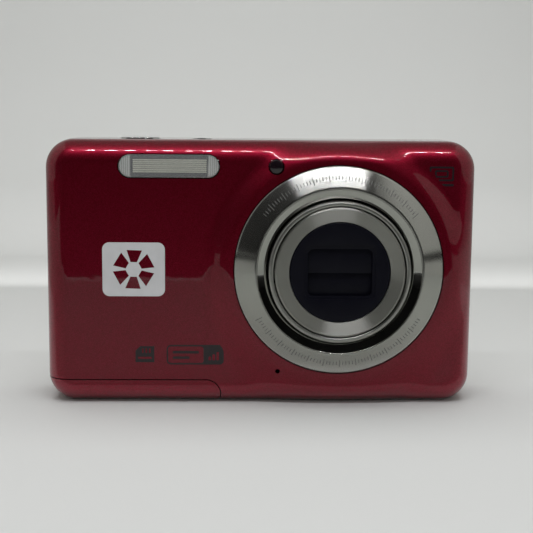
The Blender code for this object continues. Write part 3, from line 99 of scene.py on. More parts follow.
class Shader:
    """Small builder for the node tree of one procedural material."""

    def __init__(self, name: str) -> None:
        """Start a material with its principled shader and object coordinates."""
        self.material = bpy.data.materials.new(name)
        self.material.use_nodes = True
        self.nodes = self.material.node_tree.nodes
        self.links = self.material.node_tree.links
        self.surface = self.nodes["Principled BSDF"]
        self.place = self.nodes.new("ShaderNodeTexCoord").outputs["Object"]

    def put(self, **values: object) -> "Shader":
        """Set the shader's own sockets; underscores in a name stand for spaces.

        Args:
            values: socket name and value.

        Returns:
            The builder itself.
        """
        for name, value in values.items():
            self.surface.inputs[name.replace("_", " ")].default_value = value
        return self

    def drive(self, socket: str, output: bpy.types.NodeSocket) -> None:
        """Link an output to one of the shader's sockets."""
        self.links.new(output, self.surface.inputs[socket])

    def noise(self, scale: float, detail: float = 3.0, roughness: float = 0.55,
              place: bpy.types.NodeSocket | None = None) -> bpy.types.NodeSocket:
        """Add a noise texture.

        Args:
            scale: cells per metre.
            detail: number of octaves.
            roughness: weight of the finer octaves.
            place: coordinates, or None for object coordinates.

        Returns:
            The noise value.
        """
        node = self.nodes.new("ShaderNodeTexNoise")
        node.inputs["Scale"].default_value = scale
        node.inputs["Detail"].default_value = detail
        node.inputs["Roughness"].default_value = roughness
        self.links.new(place or self.place, node.inputs["Vector"])
        return node.outputs["Fac"]

    def cells(self, scale: float) -> bpy.types.NodeSocket:
        """Add a Voronoi texture and return its random cell colour."""
        node = self.nodes.new("ShaderNodeTexVoronoi")
        node.inputs["Scale"].default_value = scale
        self.links.new(self.place, node.inputs["Vector"])
        return node.outputs["Color"]

    def ramp(self, value: bpy.types.NodeSocket, low: float, high: float, start: float,
             end: float) -> bpy.types.NodeSocket:
        """Map a value from one range to another, held at both ends.

        Args:
            value: the value to map.
            low: the value that gives start.
            high: the value that gives end.
            start: result at low.
            end: result at high.

        Returns:
            The mapped value.
        """
        node = self.nodes.new("ShaderNodeMapRange")
        self.links.new(value, node.inputs["Value"])
        for name, number in (("From Min", low), ("From Max", high), ("To Min", start), ("To Max", end)):
            node.inputs[name].default_value = number
        return node.outputs["Result"]

    def blend(self, factor: bpy.types.NodeSocket, first: Sequence[float],
              second: Sequence[float]) -> bpy.types.NodeSocket:
        """Mix two colours.

        Args:
            factor: 0 gives the first and 1 the second.
            first: colour as red, green and blue.
            second: colour as red, green and blue.

        Returns:
            The mixed colour.
        """
        node = self.nodes.new("ShaderNodeMix")
        node.data_type = "RGBA"
        self.links.new(factor, node.inputs[0])
        node.inputs[6].default_value = (*first, 1.0)
        node.inputs[7].default_value = (*second, 1.0)
        return node.outputs[2]

    def math(self, operation: str, first: bpy.types.NodeSocket | float,
             second: bpy.types.NodeSocket | float = 0.0) -> bpy.types.NodeSocket:
        """Apply one arithmetic operation.

        Args:
            operation: Blender's name for it.
            first: left value.
            second: right value.

        Returns:
            The result.
        """
        node = self.nodes.new("ShaderNodeMath")
        node.operation = operation
        for index, value in enumerate((first, second)):
            if isinstance(value, (int, float)):
                node.inputs[index].default_value = value
            else:
                self.links.new(value, node.inputs[index])
        return node.outputs[0]

    def radius_about(self, x: float, z: float) -> bpy.types.NodeSocket:
        """Distance from an axis along Y through a place, for turned faces."""
        split = self.nodes.new("ShaderNodeSeparateXYZ")
        self.links.new(self.place, split.inputs[0])
        across = self.math("SUBTRACT", split.outputs["X"], x)
        up = self.math("SUBTRACT", split.outputs["Z"], z)
        squares = self.math("ADD", self.math("MULTIPLY", across, across), self.math("MULTIPLY", up, up))
        return self.math("SQRT", squares)

    def bump(self, height: bpy.types.NodeSocket, depth: float, strength: float = 1.0,
             coat: bool = False) -> None:
        """Raise the surface by a height texture.

        Args:
            height: value from 0 to 1.
            depth: height of the relief, in metres.
            strength: weight of the effect.
            coat: also bend the clear coat's own reflections.
        """
        node = self.nodes.new("ShaderNodeBump")
        node.inputs["Strength"].default_value = strength
        node.inputs["Distance"].default_value = depth
        self.links.new(height, node.inputs["Height"])
        self.links.new(node.outputs["Normal"], self.surface.inputs["Normal"])
        if coat:
            self.links.new(node.outputs["Normal"], self.surface.inputs["Coat Normal"])


@dataclass(frozen=True)
class MetallicLacquer:
    """Deep metallic lacquer with fine flakes under a glossy clear coat."""

    deep: tuple[float, float, float] = (0.21, 0.0012, 0.013)
    flake: tuple[float, float, float] = (0.38, 0.010, 0.042)
    flake_scale: float = 9000.0
    ripple_scale: float = 420.0
    ripple_depth: float = 0.000006

    def make(self, name: str) -> bpy.types.Material:
        """Build the lacquer's material."""
        shader = Shader(name)
        sparkle = shader.ramp(shader.cells(self.flake_scale), 0.35, 1.0, 0.0, 1.0)
        shader.drive("Base Color", shader.blend(sparkle, self.deep, self.flake))
        shader.put(Metallic=0.9, Coat_Weight=1.0, Coat_Roughness=0.03, Coat_IOR=1.5)
        shader.drive("Roughness", shader.ramp(sparkle, 0.0, 1.0, 0.44, 0.36))
        shader.bump(shader.noise(self.ripple_scale, 1.0), self.ripple_depth, 1.0, coat=True)
        return shader.material


@dataclass(frozen=True)
class TurnedMetal:
    """Metal turned on a lathe: fine concentric grooves about the lens axis."""

    colour: tuple[float, float, float] = (0.62, 0.61, 0.58)
    roughness: float = 0.2
    pitch: float = 0.0003
    depth: float = 0.0000003
    spread: float = 0.7
    axis: tuple[float, float] = (0.0, 0.0)

    def make(self, name: str) -> bpy.types.Material:
        """Build the turned metal's material."""
        shader = Shader(name)
        radius = shader.radius_about(self.axis[0] * MM, self.axis[1] * MM)
        wave = shader.math("SINE", shader.math("MULTIPLY", radius, 2 * math.pi / self.pitch))
        grain = shader.noise(160.0, 1.0)
        tone = shader.ramp(grain, 0.3, 0.7, 0.6, 1.0)
        darker = tuple(0.86 * c for c in self.colour)
        shader.drive("Base Color", shader.blend(tone, darker, self.colour))
        shader.put(Metallic=1.0, Anisotropic=self.spread)
        shader.drive("Tangent", self.outward(shader))
        shader.drive("Roughness", shader.ramp(grain, 0.3, 0.7, self.roughness * 0.95, self.roughness * 1.05))
        shader.bump(shader.ramp(wave, -1.0, 1.0, 0.0, 1.0), self.depth)
        return shader.material

    def outward(self, shader: Shader) -> bpy.types.NodeSocket:
        """Way across the grooves, from the axis outward: light is scattered along it."""
        away = shader.nodes.new("ShaderNodeVectorMath")
        away.operation = "SUBTRACT"
        shader.links.new(shader.place, away.inputs[0])
        away.inputs[1].default_value = (self.axis[0] * MM, 0.0, self.axis[1] * MM)
        flat = shader.nodes.new("ShaderNodeVectorMath")
        flat.operation = "MULTIPLY"
        shader.links.new(away.outputs[0], flat.inputs[0])
        flat.inputs[1].default_value = (1.0, 0.0, 1.0)
        return flat.outputs[0]


@dataclass(frozen=True)
class MouldedPlastic:
    """Moulded plastic with a fine spark-eroded grain and slight tone changes."""

    colour: tuple[float, float, float] = (0.012, 0.012, 0.013)
    roughness: float = 0.42
    grain_scale: float = 6000.0
    grain_depth: float = 0.000004
    coat: float = 0.0
    specular: float = 0.5

    def make(self, name: str) -> bpy.types.Material:
        """Build the plastic's material."""
        shader = Shader(name)
        patch = shader.noise(350.0, 3.0)
        lighter = tuple(min(1.0, 1.25 * c + 0.002) for c in self.colour)
        shader.drive("Base Color", shader.blend(patch, self.colour, lighter))
        shader.put(Metallic=0.0, Coat_Weight=self.coat, Coat_Roughness=0.05, Specular_IOR_Level=self.specular)
        shader.drive("Roughness", shader.ramp(patch, 0.3, 0.7, self.roughness * 0.9, self.roughness * 1.1))
        shader.bump(shader.noise(self.grain_scale, 2.0), self.grain_depth)
        return shader.material


@dataclass(frozen=True)
class PlainMetal:
    """Pressed, plated or cast metal with a faint grain."""

    colour: tuple[float, float, float] = (0.55, 0.55, 0.56)
    roughness: float = 0.22
    grain_scale: float = 2500.0
    grain_depth: float = 0.0000025

    def make(self, name: str) -> bpy.types.Material:
        """Build the metal's material."""
        shader = Shader(name)
        grain = shader.noise(self.grain_scale, 3.0)
        darker = tuple(0.82 * c for c in self.colour)
        shader.drive("Base Color", shader.blend(grain, darker, self.colour))
        shader.put(Metallic=1.0)
        shader.drive("Roughness", shader.ramp(grain, 0.3, 0.7, self.roughness * 0.8, self.roughness * 1.2))
        shader.bump(grain, self.grain_depth)
        return shader.material


@dataclass(frozen=True)
class ClearPlastic:
    """Clear moulded plastic or coated glass that shows what lies behind."""

    tint: tuple[float, float, float] = (0.93, 0.95, 0.95)
    roughness: float = 0.06
    transmission: float = 1.0
    ior: float = 1.46
    alpha: float = 1.0

    def make(self, name: str) -> bpy.types.Material:
        """Build the clear material."""
        shader = Shader(name)
        streak = shader.noise(900.0, 2.0)
        shader.drive("Base Color", shader.blend(streak, tuple(0.97 * c for c in self.tint), self.tint))
        shader.put(Metallic=0.0, Transmission_Weight=self.transmission, IOR=self.ior, Alpha=self.alpha)
        shader.drive("Roughness", shader.ramp(streak, 0.3, 0.7, self.roughness * 0.7, self.roughness * 1.3))
        return shader.material


@dataclass(frozen=True)
class CircuitBoard:
    """Resin board with copper tracks under green solder mask."""

    mask: tuple[float, float, float] = (0.012, 0.11, 0.045)
    track: tuple[float, float, float] = (0.05, 0.24, 0.09)

    def make(self, name: str) -> bpy.types.Material:
        """Build the board's material."""
        shader = Shader(name)
        node = shader.nodes.new("ShaderNodeTexBrick")
        node.inputs["Scale"].default_value = 260.0
        node.inputs["Mortar Size"].default_value = 0.04
        shader.links.new(shader.place, node.inputs["Vector"])
        node.inputs["Color1"].default_value = (*self.mask, 1.0)
        node.inputs["Color2"].default_value = (*(0.8 * c for c in self.mask), 1.0)
        node.inputs["Mortar"].default_value = (*self.track, 1.0)
        shader.drive("Base Color", node.outputs["Color"])
        shader.put(Coat_Weight=0.4, Coat_Roughness=0.15)
        shader.drive("Roughness", shader.ramp(shader.noise(900.0), 0.3, 0.7, 0.4, 0.55))
        return shader.material


# ---------------------------------------------------------------- shaping


def ring_of(radius: float, steps: int = 96, centre: tuple[float, float] = (0.0, 0.0)) -> Outline:
    """Circle as a closed outline, in millimetres."""
    angles = [2 * math.pi * i / steps for i in range(steps)]
    return [(centre[0] + radius * math.cos(a), centre[1] + radius * math.sin(a)) for a in angles]


def rounded(width: float, height: float, radius: float, centre: tuple[float, float] = (0.0, 0.0),
            steps: int = 12) -> Outline:
    """Rectangle with round corners as a closed outline, in millimetres.

    Args:
        width: size across.
        height: size up.
        radius: corner radius; half the height gives round ends.
        centre: middle of the rectangle.
        steps: points round each corner.

    Returns:
        The outline, anticlockwise.
    """
    across, up = width / 2 - radius, height / 2 - radius
    outline: Outline = []
    for quarter, (sx, sy) in enumerate(((1, 1), (-1, 1), (-1, -1), (1, -1))):
        for i in range(steps + 1):
            angle = math.pi / 2 * (quarter + i / steps)
            outline.append((centre[0] + sx * across + radius * math.cos(angle),
                            centre[1] + sy * up + radius * math.sin(angle)))
    return outline


def mesh_piece(name: str, points: Sequence[Sequence[float]],
               faces: Sequence[Sequence[int]]) -> bpy.types.Object:
    """Make an object from points in millimetres.

    Args:
        name: the piece's name.
        points: places in the model's frame.
        faces: point numbers of each face.

    Returns:
        The object, in the scene, with its mesh in metres.
    """
    mesh = bpy.data.meshes.new(name)
    mesh.from_pydata([tuple(MM * c for c in p) for p in points], [], faces)
    mesh.update()
    piece = bpy.data.objects.new(name, mesh)
    bpy.context.scene.collection.objects.link(piece)
    return piece


def settle(piece: bpy.types.Object, place: Matrix) -> bpy.types.Object:
    """Move a piece's mesh to its place, so that its object stays at the origin."""
    piece.data.transform(place)
    return piece


def placing(facing: Facing, centre: Sequence[float]) -> Matrix:
    """Matrix that faces a shape a way and puts its origin at a place in millimetres."""
    return Matrix.Translation(Vector(centre) * MM) @ facing.matrix()


def slab(name: str, outline: Outline, low: float, high: float, facing: Facing,
         centre: Sequence[float]) -> bpy.types.Object:
    """Flat outline made solid between two heights.

    Args:
        name: the piece's name.
        outline: closed outline round the centre.
        low: lower height along the way that it faces.
        high: upper height.
        facing: the way that it faces.
        centre: place of the outline's origin.

    Returns:
        The solid.
    """
    count = len(outline)
    points = [(u, v, h) for h in (low, high) for u, v in outline]
    sides = [(i, (i + 1) % count, count + (i + 1) % count, count + i) for i in range(count)]
    faces = [tuple(reversed(range(count))), tuple(range(count, 2 * count)), *sides]
    return settle(mesh_piece(name, points, faces), placing(facing, centre))


def turned(name: str, profile: Outline, facing: Facing, centre: Sequence[float], steps: int = 192,
           closed: bool = False) -> bpy.types.Object:
    """Shape turned about the axis that it faces along.

    Args:
        name: the piece's name.
        profile: radius and height, going down the outside from the top.
        facing: the way that its axis points.
        centre: place of the profile's origin.
        steps: flats round the turn.
        closed: the profile goes round a section that doesn't touch the axis.

    Returns:
        The turned solid.
    """
    points: list[tuple[float, float, float]] = []
    rows: list[list[int]] = []
    for radius, height in profile:
        if radius < 1e-6:
            rows.append([len(points)] * steps)
            points.append((0.0, 0.0, height))
            continue
        rows.append(list(range(len(points), len(points) + steps)))
        for i in range(steps):
            angle = 2 * math.pi * i / steps
            points.append((radius * math.cos(angle), radius * math.sin(angle), height))
    faces = []
    pairs = list(zip(rows, rows[1:])) + ([(rows[-1], rows[0])] if closed else [])
    for upper, lower in pairs:
        for i in range(steps):
            j = (i + 1) % steps
            corners = [upper[i], lower[i], lower[j], upper[j]]
            face = [c for k, c in enumerate(corners) if c != corners[k - 1]]
            if len(face) > 2:
                faces.append(face)
    if not closed:
        for row, turn in ((rows[0], 1), (rows[-1], -1)):
            if len(set(row)) > 1:
                faces.append(row[::turn])
    return settle(mesh_piece(name, points, faces), placing(facing, centre))


def eased(points: Outline, ease: float, steps: int = 4) -> Outline:
    """Round each inner corner of an open profile with a small arc of the same reach.

    Args:
        points: the profile with sharp corners.
        ease: how far from each corner the rounding starts.
        steps: pieces of each rounding.

    Returns:
        The profile with its corners rounded.
    """
    smooth = [points[0]]
    for before, corner, after in zip(points, points[1:], points[2:]):
        here = Vector(corner)
        back, ahead = Vector(before) - here, Vector(after) - here
        reach = min(ease, 0.45 * back.length, 0.45 * ahead.length)
        start, end = here + back.normalized() * reach, here + ahead.normalized() * reach
        for i in range(steps + 1):
            t = i / steps
            point = (1 - t) ** 2 * start + 2 * t * (1 - t) * here + t ** 2 * end
            smooth.append((point.x, point.y))
    return [*smooth, points[-1]]


def merge(name: str, pieces: Sequence[bpy.types.Object]) -> bpy.types.Object:
    """Put several meshes in one object, and remove the others."""
    whole = bmesh.new()
    for piece in pieces:
        whole.from_mesh(piece.data)
        bpy.data.objects.remove(piece)
    mesh = bpy.data.meshes.new(name)
    whole.to_mesh(mesh)
    whole.free()
    result = bpy.data.objects.new(name, mesh)
    bpy.context.scene.collection.objects.link(result)
    return result


def carve(piece: bpy.types.Object, tools: Sequence[bpy.types.Object],
          way: Cut = Cut.AWAY) -> bpy.types.Object:
    """Combine a piece with tools that stand clear of each other, and remove the tools.

    Args:
        piece: the solid to change.
        tools: closed solids.
        way: how they are combined.

    Returns:
        The changed piece.
    """
    tool = merge(piece.name + "_tool", tools)
    change = piece.modifiers.new("carve", "BOOLEAN")
    change.operation = way.value
    change.solver = "MANIFOLD"
    change.object = tool
    return applied(piece, [tool])


def applied(piece: bpy.types.Object, spent: Sequence[bpy.types.Object] = ()) -> bpy.types.Object:
    """Fix a piece's modifiers into its mesh, and remove the objects that they used."""
    bpy.context.view_layer.update()
    graph = bpy.context.evaluated_depsgraph_get()
    mesh = bpy.data.meshes.new_from_object(piece.evaluated_get(graph))
    piece.modifiers.clear()
    piece.data = mesh
    for other in spent:
        bpy.data.objects.remove(other)
    return piece


def finished(piece: bpy.types.Object, material: bpy.types.Material, body: str,
             replaces: Sequence[str] = (), edge: float = 0.0, angle: float = 35.0) -> bpy.types.Object:
    """Shade, dress and mount a piece.

    Args:
        piece: the piece in its place.
        material: its finish.
        body: body of the model that it moves with.
        replaces: nodes of the model that it stands for.
        edge: width of the bevel on its sharp edges, in millimetres.
        angle: edges sharper than this many degrees stay crisp.

    Returns:
        The piece.
    """
    if edge:
        bevel = piece.modifiers.new("edges", "BEVEL")
        bevel.width = edge * MM
        bevel.segments = 3
        bevel.limit_method = "ANGLE"
        bevel.angle_limit = math.radians(angle)
        bevel.harden_normals = False
        applied(piece)
    piece.data.shade_smooth()
    piece.data.set_sharp_from_angle(angle=math.radians(angle))
    piece.data.materials.clear()
    piece.data.materials.append(material)
    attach(piece, body)
    if replaces:
        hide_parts(*replaces)
    LOG.info("%s on %s", piece.name, body)
    return piece


def node_span(node: str) -> tuple[Vector, Vector]:
    """Lowest and highest corner of one of the model's nodes, in millimetres."""
    low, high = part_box(node)
    return low / MM, high / MM


def node_middle(node: str) -> Vector:
    """Middle of one of the model's nodes, in millimetres."""
    low, high = node_span(node)
    return (low + high) / 2


# ---------------------------------------------------------------- body


@dataclass(frozen=True)
class Layout:
    """Main places of the camera, in millimetres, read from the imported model."""

    left: float
    right: float
    top: float
    front: float
    back: float
    lens_x: float
    lens_z: float

    @classmethod
    def from_model(cls, body_depth: float = 17.6) -> "Layout":
        """Read the places.

        Args:
            body_depth: distance from the flat front to the back of the casing.

        Returns:
            The layout.
        """
        low, high = node_span("rear_shell")
        lens = node_middle("lens_trim_ring")
        return cls(low.x, high.x, high.z, high.y - body_depth, high.y, lens.x, lens.z)

    def at(self, depth: float) -> float:
        """Y of a place this far behind the flat front."""
        return self.front + depth

    def lens(self) -> tuple[float, float, float]:
        """Point where the lens axis meets the plane of the flat front."""
        return (self.lens_x, self.front, self.lens_z)


def smooth_step(value: float) -> float:
    """Ease from 0 to 1, held outside that range."""
    held = min(1.0, max(0.0, value))
    return held * held * (3 - 2 * held)


@dataclass(frozen=True)
class Flare:
    """Rise of the front face round the lens: a flat rim, then a soft fall that runs longer below."""

    height: float = 1.7
    flat_radius: float = 23.0
    reach: float = 5.6
    reach_below: float = 5.5
    side_start: float = 4.8
    side_end: float = 9.5

    def rise(self, across: float, up: float, depth: float) -> float:
        """Height of the flare at a place.

        Args:
            across: distance to the right of the lens axis.
            up: distance above it.
            depth: distance behind the flat front.

        Returns:
            How far the surface stands forward.
        """
        radius = math.hypot(across, up)
        if radius < 1e-9:
            return self.height
        below = max(0.0, -up / radius)
        reach = self.reach + self.reach_below * below * below
        fall = 1.0 - smooth_step((radius - self.flat_radius) / reach)
        fade = 1.0 - smooth_step((depth - self.side_start) / (self.side_end - self.side_start))
        return self.height * fall * fade


@dataclass(frozen=True)
class BodySkin:
    """Fine closed skin of the camera's body."""

    layout: Layout
    flare: Flare = field(default_factory=Flare)
    corner: float = 6.1
    front_fillet: float = 4.8
    rear_fillet: float = 2.5
    cell: float = 0.7
    fillet_steps: int = 14
    corner_steps: int = 12

    def levels(self, inset: float) -> list[tuple[float, float]]:
        """Reach beyond the flat middle, and depth, of each ring of points from front to back."""
        corner, front = self.corner - inset, self.front_fillet - inset
        rear, depth = self.rear_fillet - inset, self.layout.back - self.layout.front - 2 * inset
        flat = corner - front
        rings = [(flat / 2, 0.0)]
        for i in range(self.fillet_steps + 1):
            turn = math.pi / 2 * i / self.fillet_steps
            rings.append((flat + front * math.sin(turn), front * (1 - math.cos(turn))))
        rings += [(corner, front + (self.flare.side_end - front) * i / 8) for i in range(1, 9)]
        for i in range(self.fillet_steps // 2 + 1):
            turn = math.pi / 2 * i / (self.fillet_steps // 2)
            rings.append((corner - rear + rear * math.cos(turn), depth - rear + rear * math.sin(turn)))
        return [(reach, inset + d) for reach, d in rings]

    def build(self, name: str, inset: float = 0.0) -> bpy.types.Object:
        """Make the skin.

        Args:
            name: the piece's name.
            inset: how far inside the outer surface it lies; the flare is left out of an inner skin.

        Returns:
            A closed solid.
        """
        form = self.layout
        columns = round((form.right - form.left - 2 * self.corner) / self.cell)
        rows = round((form.top - 2 * self.corner) / self.cell)
        xs = [form.left + self.corner + (form.right - form.left - 2 * self.corner) * i / columns
              for i in range(columns + 1)]
        zs = [self.corner + (form.top - 2 * self.corner) * j / rows for j in range(rows + 1)]
        points: list[tuple[float, float, float]] = []

        def add(x: float, z: float, depth: float) -> int:
            """Add a point on the skin and return its number."""
            rise = 0.0 if inset else self.flare.rise(x - form.lens_x, z - form.lens_z, depth)
            points.append((x, form.at(depth) - rise, z))
            return len(points) - 1

        grid = [[add(x, z, inset) for x in xs] for z in zs]
        faces = [(grid[j][i], grid[j][i + 1], grid[j + 1][i + 1], grid[j + 1][i])
                 for j in range(rows) for i in range(columns)]
        rim = self.rim(grid, xs, zs)
        before = [index for index, _, _, _ in rim]
        for reach, depth in self.levels(inset):
            here = [add(x + reach * math.cos(a), z + reach * math.sin(a), depth) for _, x, z, a in rim]
            for k in range(len(rim)):
                j = (k + 1) % len(rim)
                face = (before[k], here[k], here[j], before[j])
                faces.append(face if before[k] != before[j] else face[:3])
            before = here
        faces.append(tuple(reversed(before)))
        return mesh_piece(name, points, faces)

    def rim(self, grid: list[list[int]], xs: list[float],
            zs: list[float]) -> list[tuple[int, float, float, float]]:
        """Go round the flat middle's edge.

        Args:
            grid: point numbers of the flat middle, by row and column.
            xs: place of each column.
            zs: place of each row.

        Returns:
            Point number, place and outward angle for each step, with a fan of angles at each corner.
        """
        quarter = math.pi / 2
        bottom = [(grid[0][i], x, zs[0], -quarter) for i, x in enumerate(xs)]
        right = [(grid[j][-1], xs[-1], z, 0.0) for j, z in enumerate(zs)]
        top = [(grid[-1][i], xs[i], zs[-1], quarter) for i in reversed(range(len(xs)))]
        left = [(grid[j][0], xs[0], zs[j], 2 * quarter) for j in reversed(range(len(zs)))]
        steps: list[tuple[int, float, float, float]] = []
        for side in (bottom, right, top, left):
            steps += side
            index, x, z, angle = side[-1]
            for i in range(1, self.corner_steps):
                steps.append((index, x, z, angle + quarter * i / self.corner_steps))
        return steps


@dataclass
class Casing:
    """Front shell, rear shell and battery door, cut from one skin so that their faces line up."""

    layout: Layout
    wall: float = 1.2
    split_depth: float = 12.8
    split_gap: float = 0.28
    door_gap: float = 0.22
    pocket_radius: float = 22.3
    pocket_floor: float = 0.03
    opening_radius: float = 15.5
    run_gap: float = 0.2
    lacquer: MetallicLacquer = field(default_factory=MetallicLacquer)

    def build(self) -> None:
        """Make the three pieces."""
        skin = BodySkin(self.layout)
        paint = self.lacquer.make("red_lacquer")
        cavity = BodySkin(self.layout, cell=4.0, fillet_steps=4, corner_steps=4)
        self.front_shell(skin, cavity, paint)
        self.rear_shell(skin, cavity, paint)
        self.battery_door(skin, cavity, paint)

    def door_outline(self, margin: float) -> Outline:
        """Outline of the door's corner seen from the front, round its hinge end.

        Args:
            margin: how far outside the door the outline runs.

        Returns:
            The closed outline.
        """
        pin = node_middle("door_hinge_pin")
        top = node_span("battery_door")[1].z
        radius = top - pin.z + margin
        turns = [math.radians(-90 + 180 * i / 40) for i in range(41)]
        end = [(pin.x + radius * math.cos(a), pin.z + radius * math.sin(a)) for a in turns]
        outside = self.layout.left - 5.0
        return [*end, (outside, pin.z + radius), (outside, pin.z - radius)]

    def door_block(self, margin: float) -> bpy.types.Object:
        """Solid that holds the door's corner of the casing."""
        origin = (0.0, self.layout.back + 5.0, 0.0)
        return slab("door_region", self.door_outline(margin), 0.0, 40.0, Facing.FRONT, origin)

    def bar(self, low: Sequence[float], high: Sequence[float]) -> bpy.types.Object:
        """Plain block between two corners, used to cut."""
        centre = ((low[0] + high[0]) / 2, 0.0, (low[2] + high[2]) / 2)
        outline = rounded(high[0] - low[0], high[2] - low[2], 0.01, steps=1)
        return slab("bar", outline, -high[1], -low[1], Facing.FRONT, centre)

    def hole(self, centre: Sequence[float], radius: float, low: float, high: float,
             facing: Facing) -> bpy.types.Object:
        """Round tool between two heights."""
        return slab("hole", ring_of(radius, 64), low, high, facing, centre)

    def front_shell(self, skin: BodySkin, cavity: BodySkin, paint: bpy.types.Material) -> None:
        """Cut the front shell out of the skin.

        Args:
            skin: the outer skin.
            cavity: the inner one.
            paint: the finish.
        """
        form, far = self.layout, 100.0
        shell = skin.build("front_shell_skin")
        carve(shell, [cavity.build("front_cavity", self.wall)])
        behind = self.bar((-far, form.at(self.split_depth), -far), (far, far, far))
        carve(shell, [behind])
        carve(shell, [self.door_block(self.door_gap)])
        lens = form.lens()
        carve(shell, [self.hole(lens, self.pocket_radius, -self.pocket_floor, 10.0, Facing.FRONT)])
        tools = [self.hole(lens, self.opening_radius, -10.0, 5.0, Facing.FRONT)]
        tools += self.front_openings() + self.top_openings() + self.base_openings()
        carve(shell, tools)
        finished(shell, paint, "root", ["front_shell"])

    def front_openings(self) -> list[bpy.types.Object]:
        """Tools for the flash window, lamp and microphone."""
        low, high = node_span("flash_window")
        width, height = high.x - low.x + 2 * self.run_gap, high.z - low.z + 2 * self.run_gap
        middle = node_middle("flash_window")
        lamp_low, lamp_high = node_span("af_lamp_lens")
        lamp = node_middle("af_lamp_lens")
        radius = (lamp_high.x - lamp_low.x) / 2 + self.run_gap
        return [
            slab("flash_cut", rounded(width, height, height / 2, steps=24), -4.0, 4.0, Facing.FRONT,
                 (middle.x, self.layout.front, middle.z)),
            self.hole((lamp.x, self.layout.front, lamp.z), radius, -4.0, 6.0, Facing.FRONT),
            self.hole((self.layout.lens_x - 12.75, self.layout.front, 7.5), 0.5, -4.0, 6.0, Facing.FRONT),
        ]

    def top_openings(self) -> list[bpy.types.Object]:
        """Tools for the two top buttons and the loudspeaker's grille."""
        tools = []
        for node, cap_width in (("shutter_button", 8.4), ("power_button", 3.9)):
            middle = node_middle(node)
            depth = 5.2 if cap_width > 5 else cap_width
            outline = rounded(cap_width + 0.4, depth + 0.4, depth / 2 + 0.2, steps=24)
            place = (middle.x, middle.y, self.layout.top)
            tools.append(slab(node + "_cut", outline, -4.0, 4.0, Facing.UP, place))
        speaker = node_middle("speaker")
        for i in range(-2, 3):
            place = (speaker.x + 1.6 * i, speaker.y, self.layout.top)
            tools.append(self.hole(place, 0.45, -2.0, 4.0, Facing.UP))
        return tools

    def base_openings(self) -> list[bpy.types.Object]:
        """Tools for the tripod bush, the screws and the socket in the right end."""
        bush = node_middle("tripod_bush")
        tools = [self.hole((bush.x, bush.y, 0.0), 4.1, -3.0, 3.0, Facing.UP)]
        for node in ("case_screw_1", "case_screw_2"):
            screw = node_middle(node)
            tools.append(self.hole((screw.x, screw.y, 0.0), 1.55, -1.0, 0.9, Facing.UP))
        side = node_middle("case_screw_3")
        tools.append(self.hole((self.layout.right, side.y, side.z), 1.55, -0.9, 1.0, Facing.RIGHT))
        low, high = node_span("usb_port")
        outline = rounded(high.y - low.y + 0.4, high.z - low.z + 0.4, 0.9)
        middle = (self.layout.right, (low.y + high.y) / 2, (low.z + high.z) / 2)
        tools.append(slab("port_cut", outline, -4.0, 4.0, Facing.RIGHT, middle))
        return tools

    def rear_shell(self, skin: BodySkin, cavity: BodySkin, paint: bpy.types.Material) -> None:
        """Cut the rear shell out of the skin.

        Args:
            skin: the outer skin.
            cavity: the inner one.
            paint: the finish.
        """
        form, far = self.layout, 100.0
        shell = skin.build("rear_shell_skin")
        carve(shell, [cavity.build("rear_cavity", self.wall)])
        ahead = self.bar((-far, -far, -far), (far, form.at(self.split_depth + self.split_gap), far))
        carve(shell, [ahead])
        carve(shell, [self.door_block(self.door_gap)])
        bar = node_middle("strap_bar")
        low, high = node_span("strap_bar")
        pocket = self.bar((form.left + 0.6, form.at(13.08), low.z - 1.1),
                          (form.left + 3.8, form.at(17.3), high.z + 1.1))
        carve(shell, [pocket], Cut.JOIN)
        recess = rounded(2.2, high.z - low.z + 0.6, 0.8)
        tool = slab("strap_cut", recess, -3.0, 4.0, Facing.RIGHT, (form.left, bar.y, (low.z + high.z) / 2))
        carve(shell, [tool])
        carve(shell, self.rear_openings())
        finished(shell, paint, "root", ["rear_shell"])

    def rear_openings(self) -> list[bpy.types.Object]:
        """Tools for the display, the buttons, the rocker and the status lamp."""
        back, tools = self.layout.back, []
        low, high = node_span("lcd_glass")
        middle = node_middle("lcd_glass")
        outline = rounded(high.x - low.x + 0.3, high.z - low.z + 0.3, 1.0)
        tools.append(slab("display_cut", outline, -4.0, 4.0, Facing.BACK, (middle.x, back, middle.z)))
        for node, radius in (("record_button", 2.2), ("play_button", 2.2), ("menu_button", 2.2),
                             ("delete_button", 2.2), ("nav_ring", 8.2), ("status_led", 0.8)):
            middle = node_middle(node)
            tools.append(self.hole((middle.x, back, middle.z), radius + self.run_gap, -4.0, 4.0, Facing.BACK))
        low, high = node_span("zoom_rocker")
        middle = node_middle("zoom_rocker")
        height = high.z - low.z + 2 * self.run_gap
        outline = rounded(high.x - low.x + 2 * self.run_gap, height, height / 2, steps=24)
        tools.append(slab("rocker_cut", outline, -4.0, 4.0, Facing.BACK, (middle.x, back, middle.z)))
        return tools

    def battery_door(self, skin: BodySkin, cavity: BodySkin, paint: bpy.types.Material) -> None:
        """Cut the battery door out of the skin, thinned round its hinge.

        Args:
            skin: the outer skin.
            cavity: the inner one.
            paint: the finish.
        """
        door = skin.build("battery_door_skin")
        carve(door, [self.door_block(0.0)], Cut.KEEP)
        carve(door, [cavity.build("door_cavity", self.wall)])
        pin = node_middle("door_hinge_pin")
        relief = rounded(4.5, 2.9, 1.45)
        front, back = self.layout.at(15.4), self.layout.at(3.8)
        tool = slab("hinge_cut", relief, -front, -back, Facing.FRONT, (pin.x + 0.8, 0.0, pin.z))
        carve(door, [tool])
        finished(door, paint, "battery_door", ["battery_door"])


# ---------------------------------------------------------------- lens


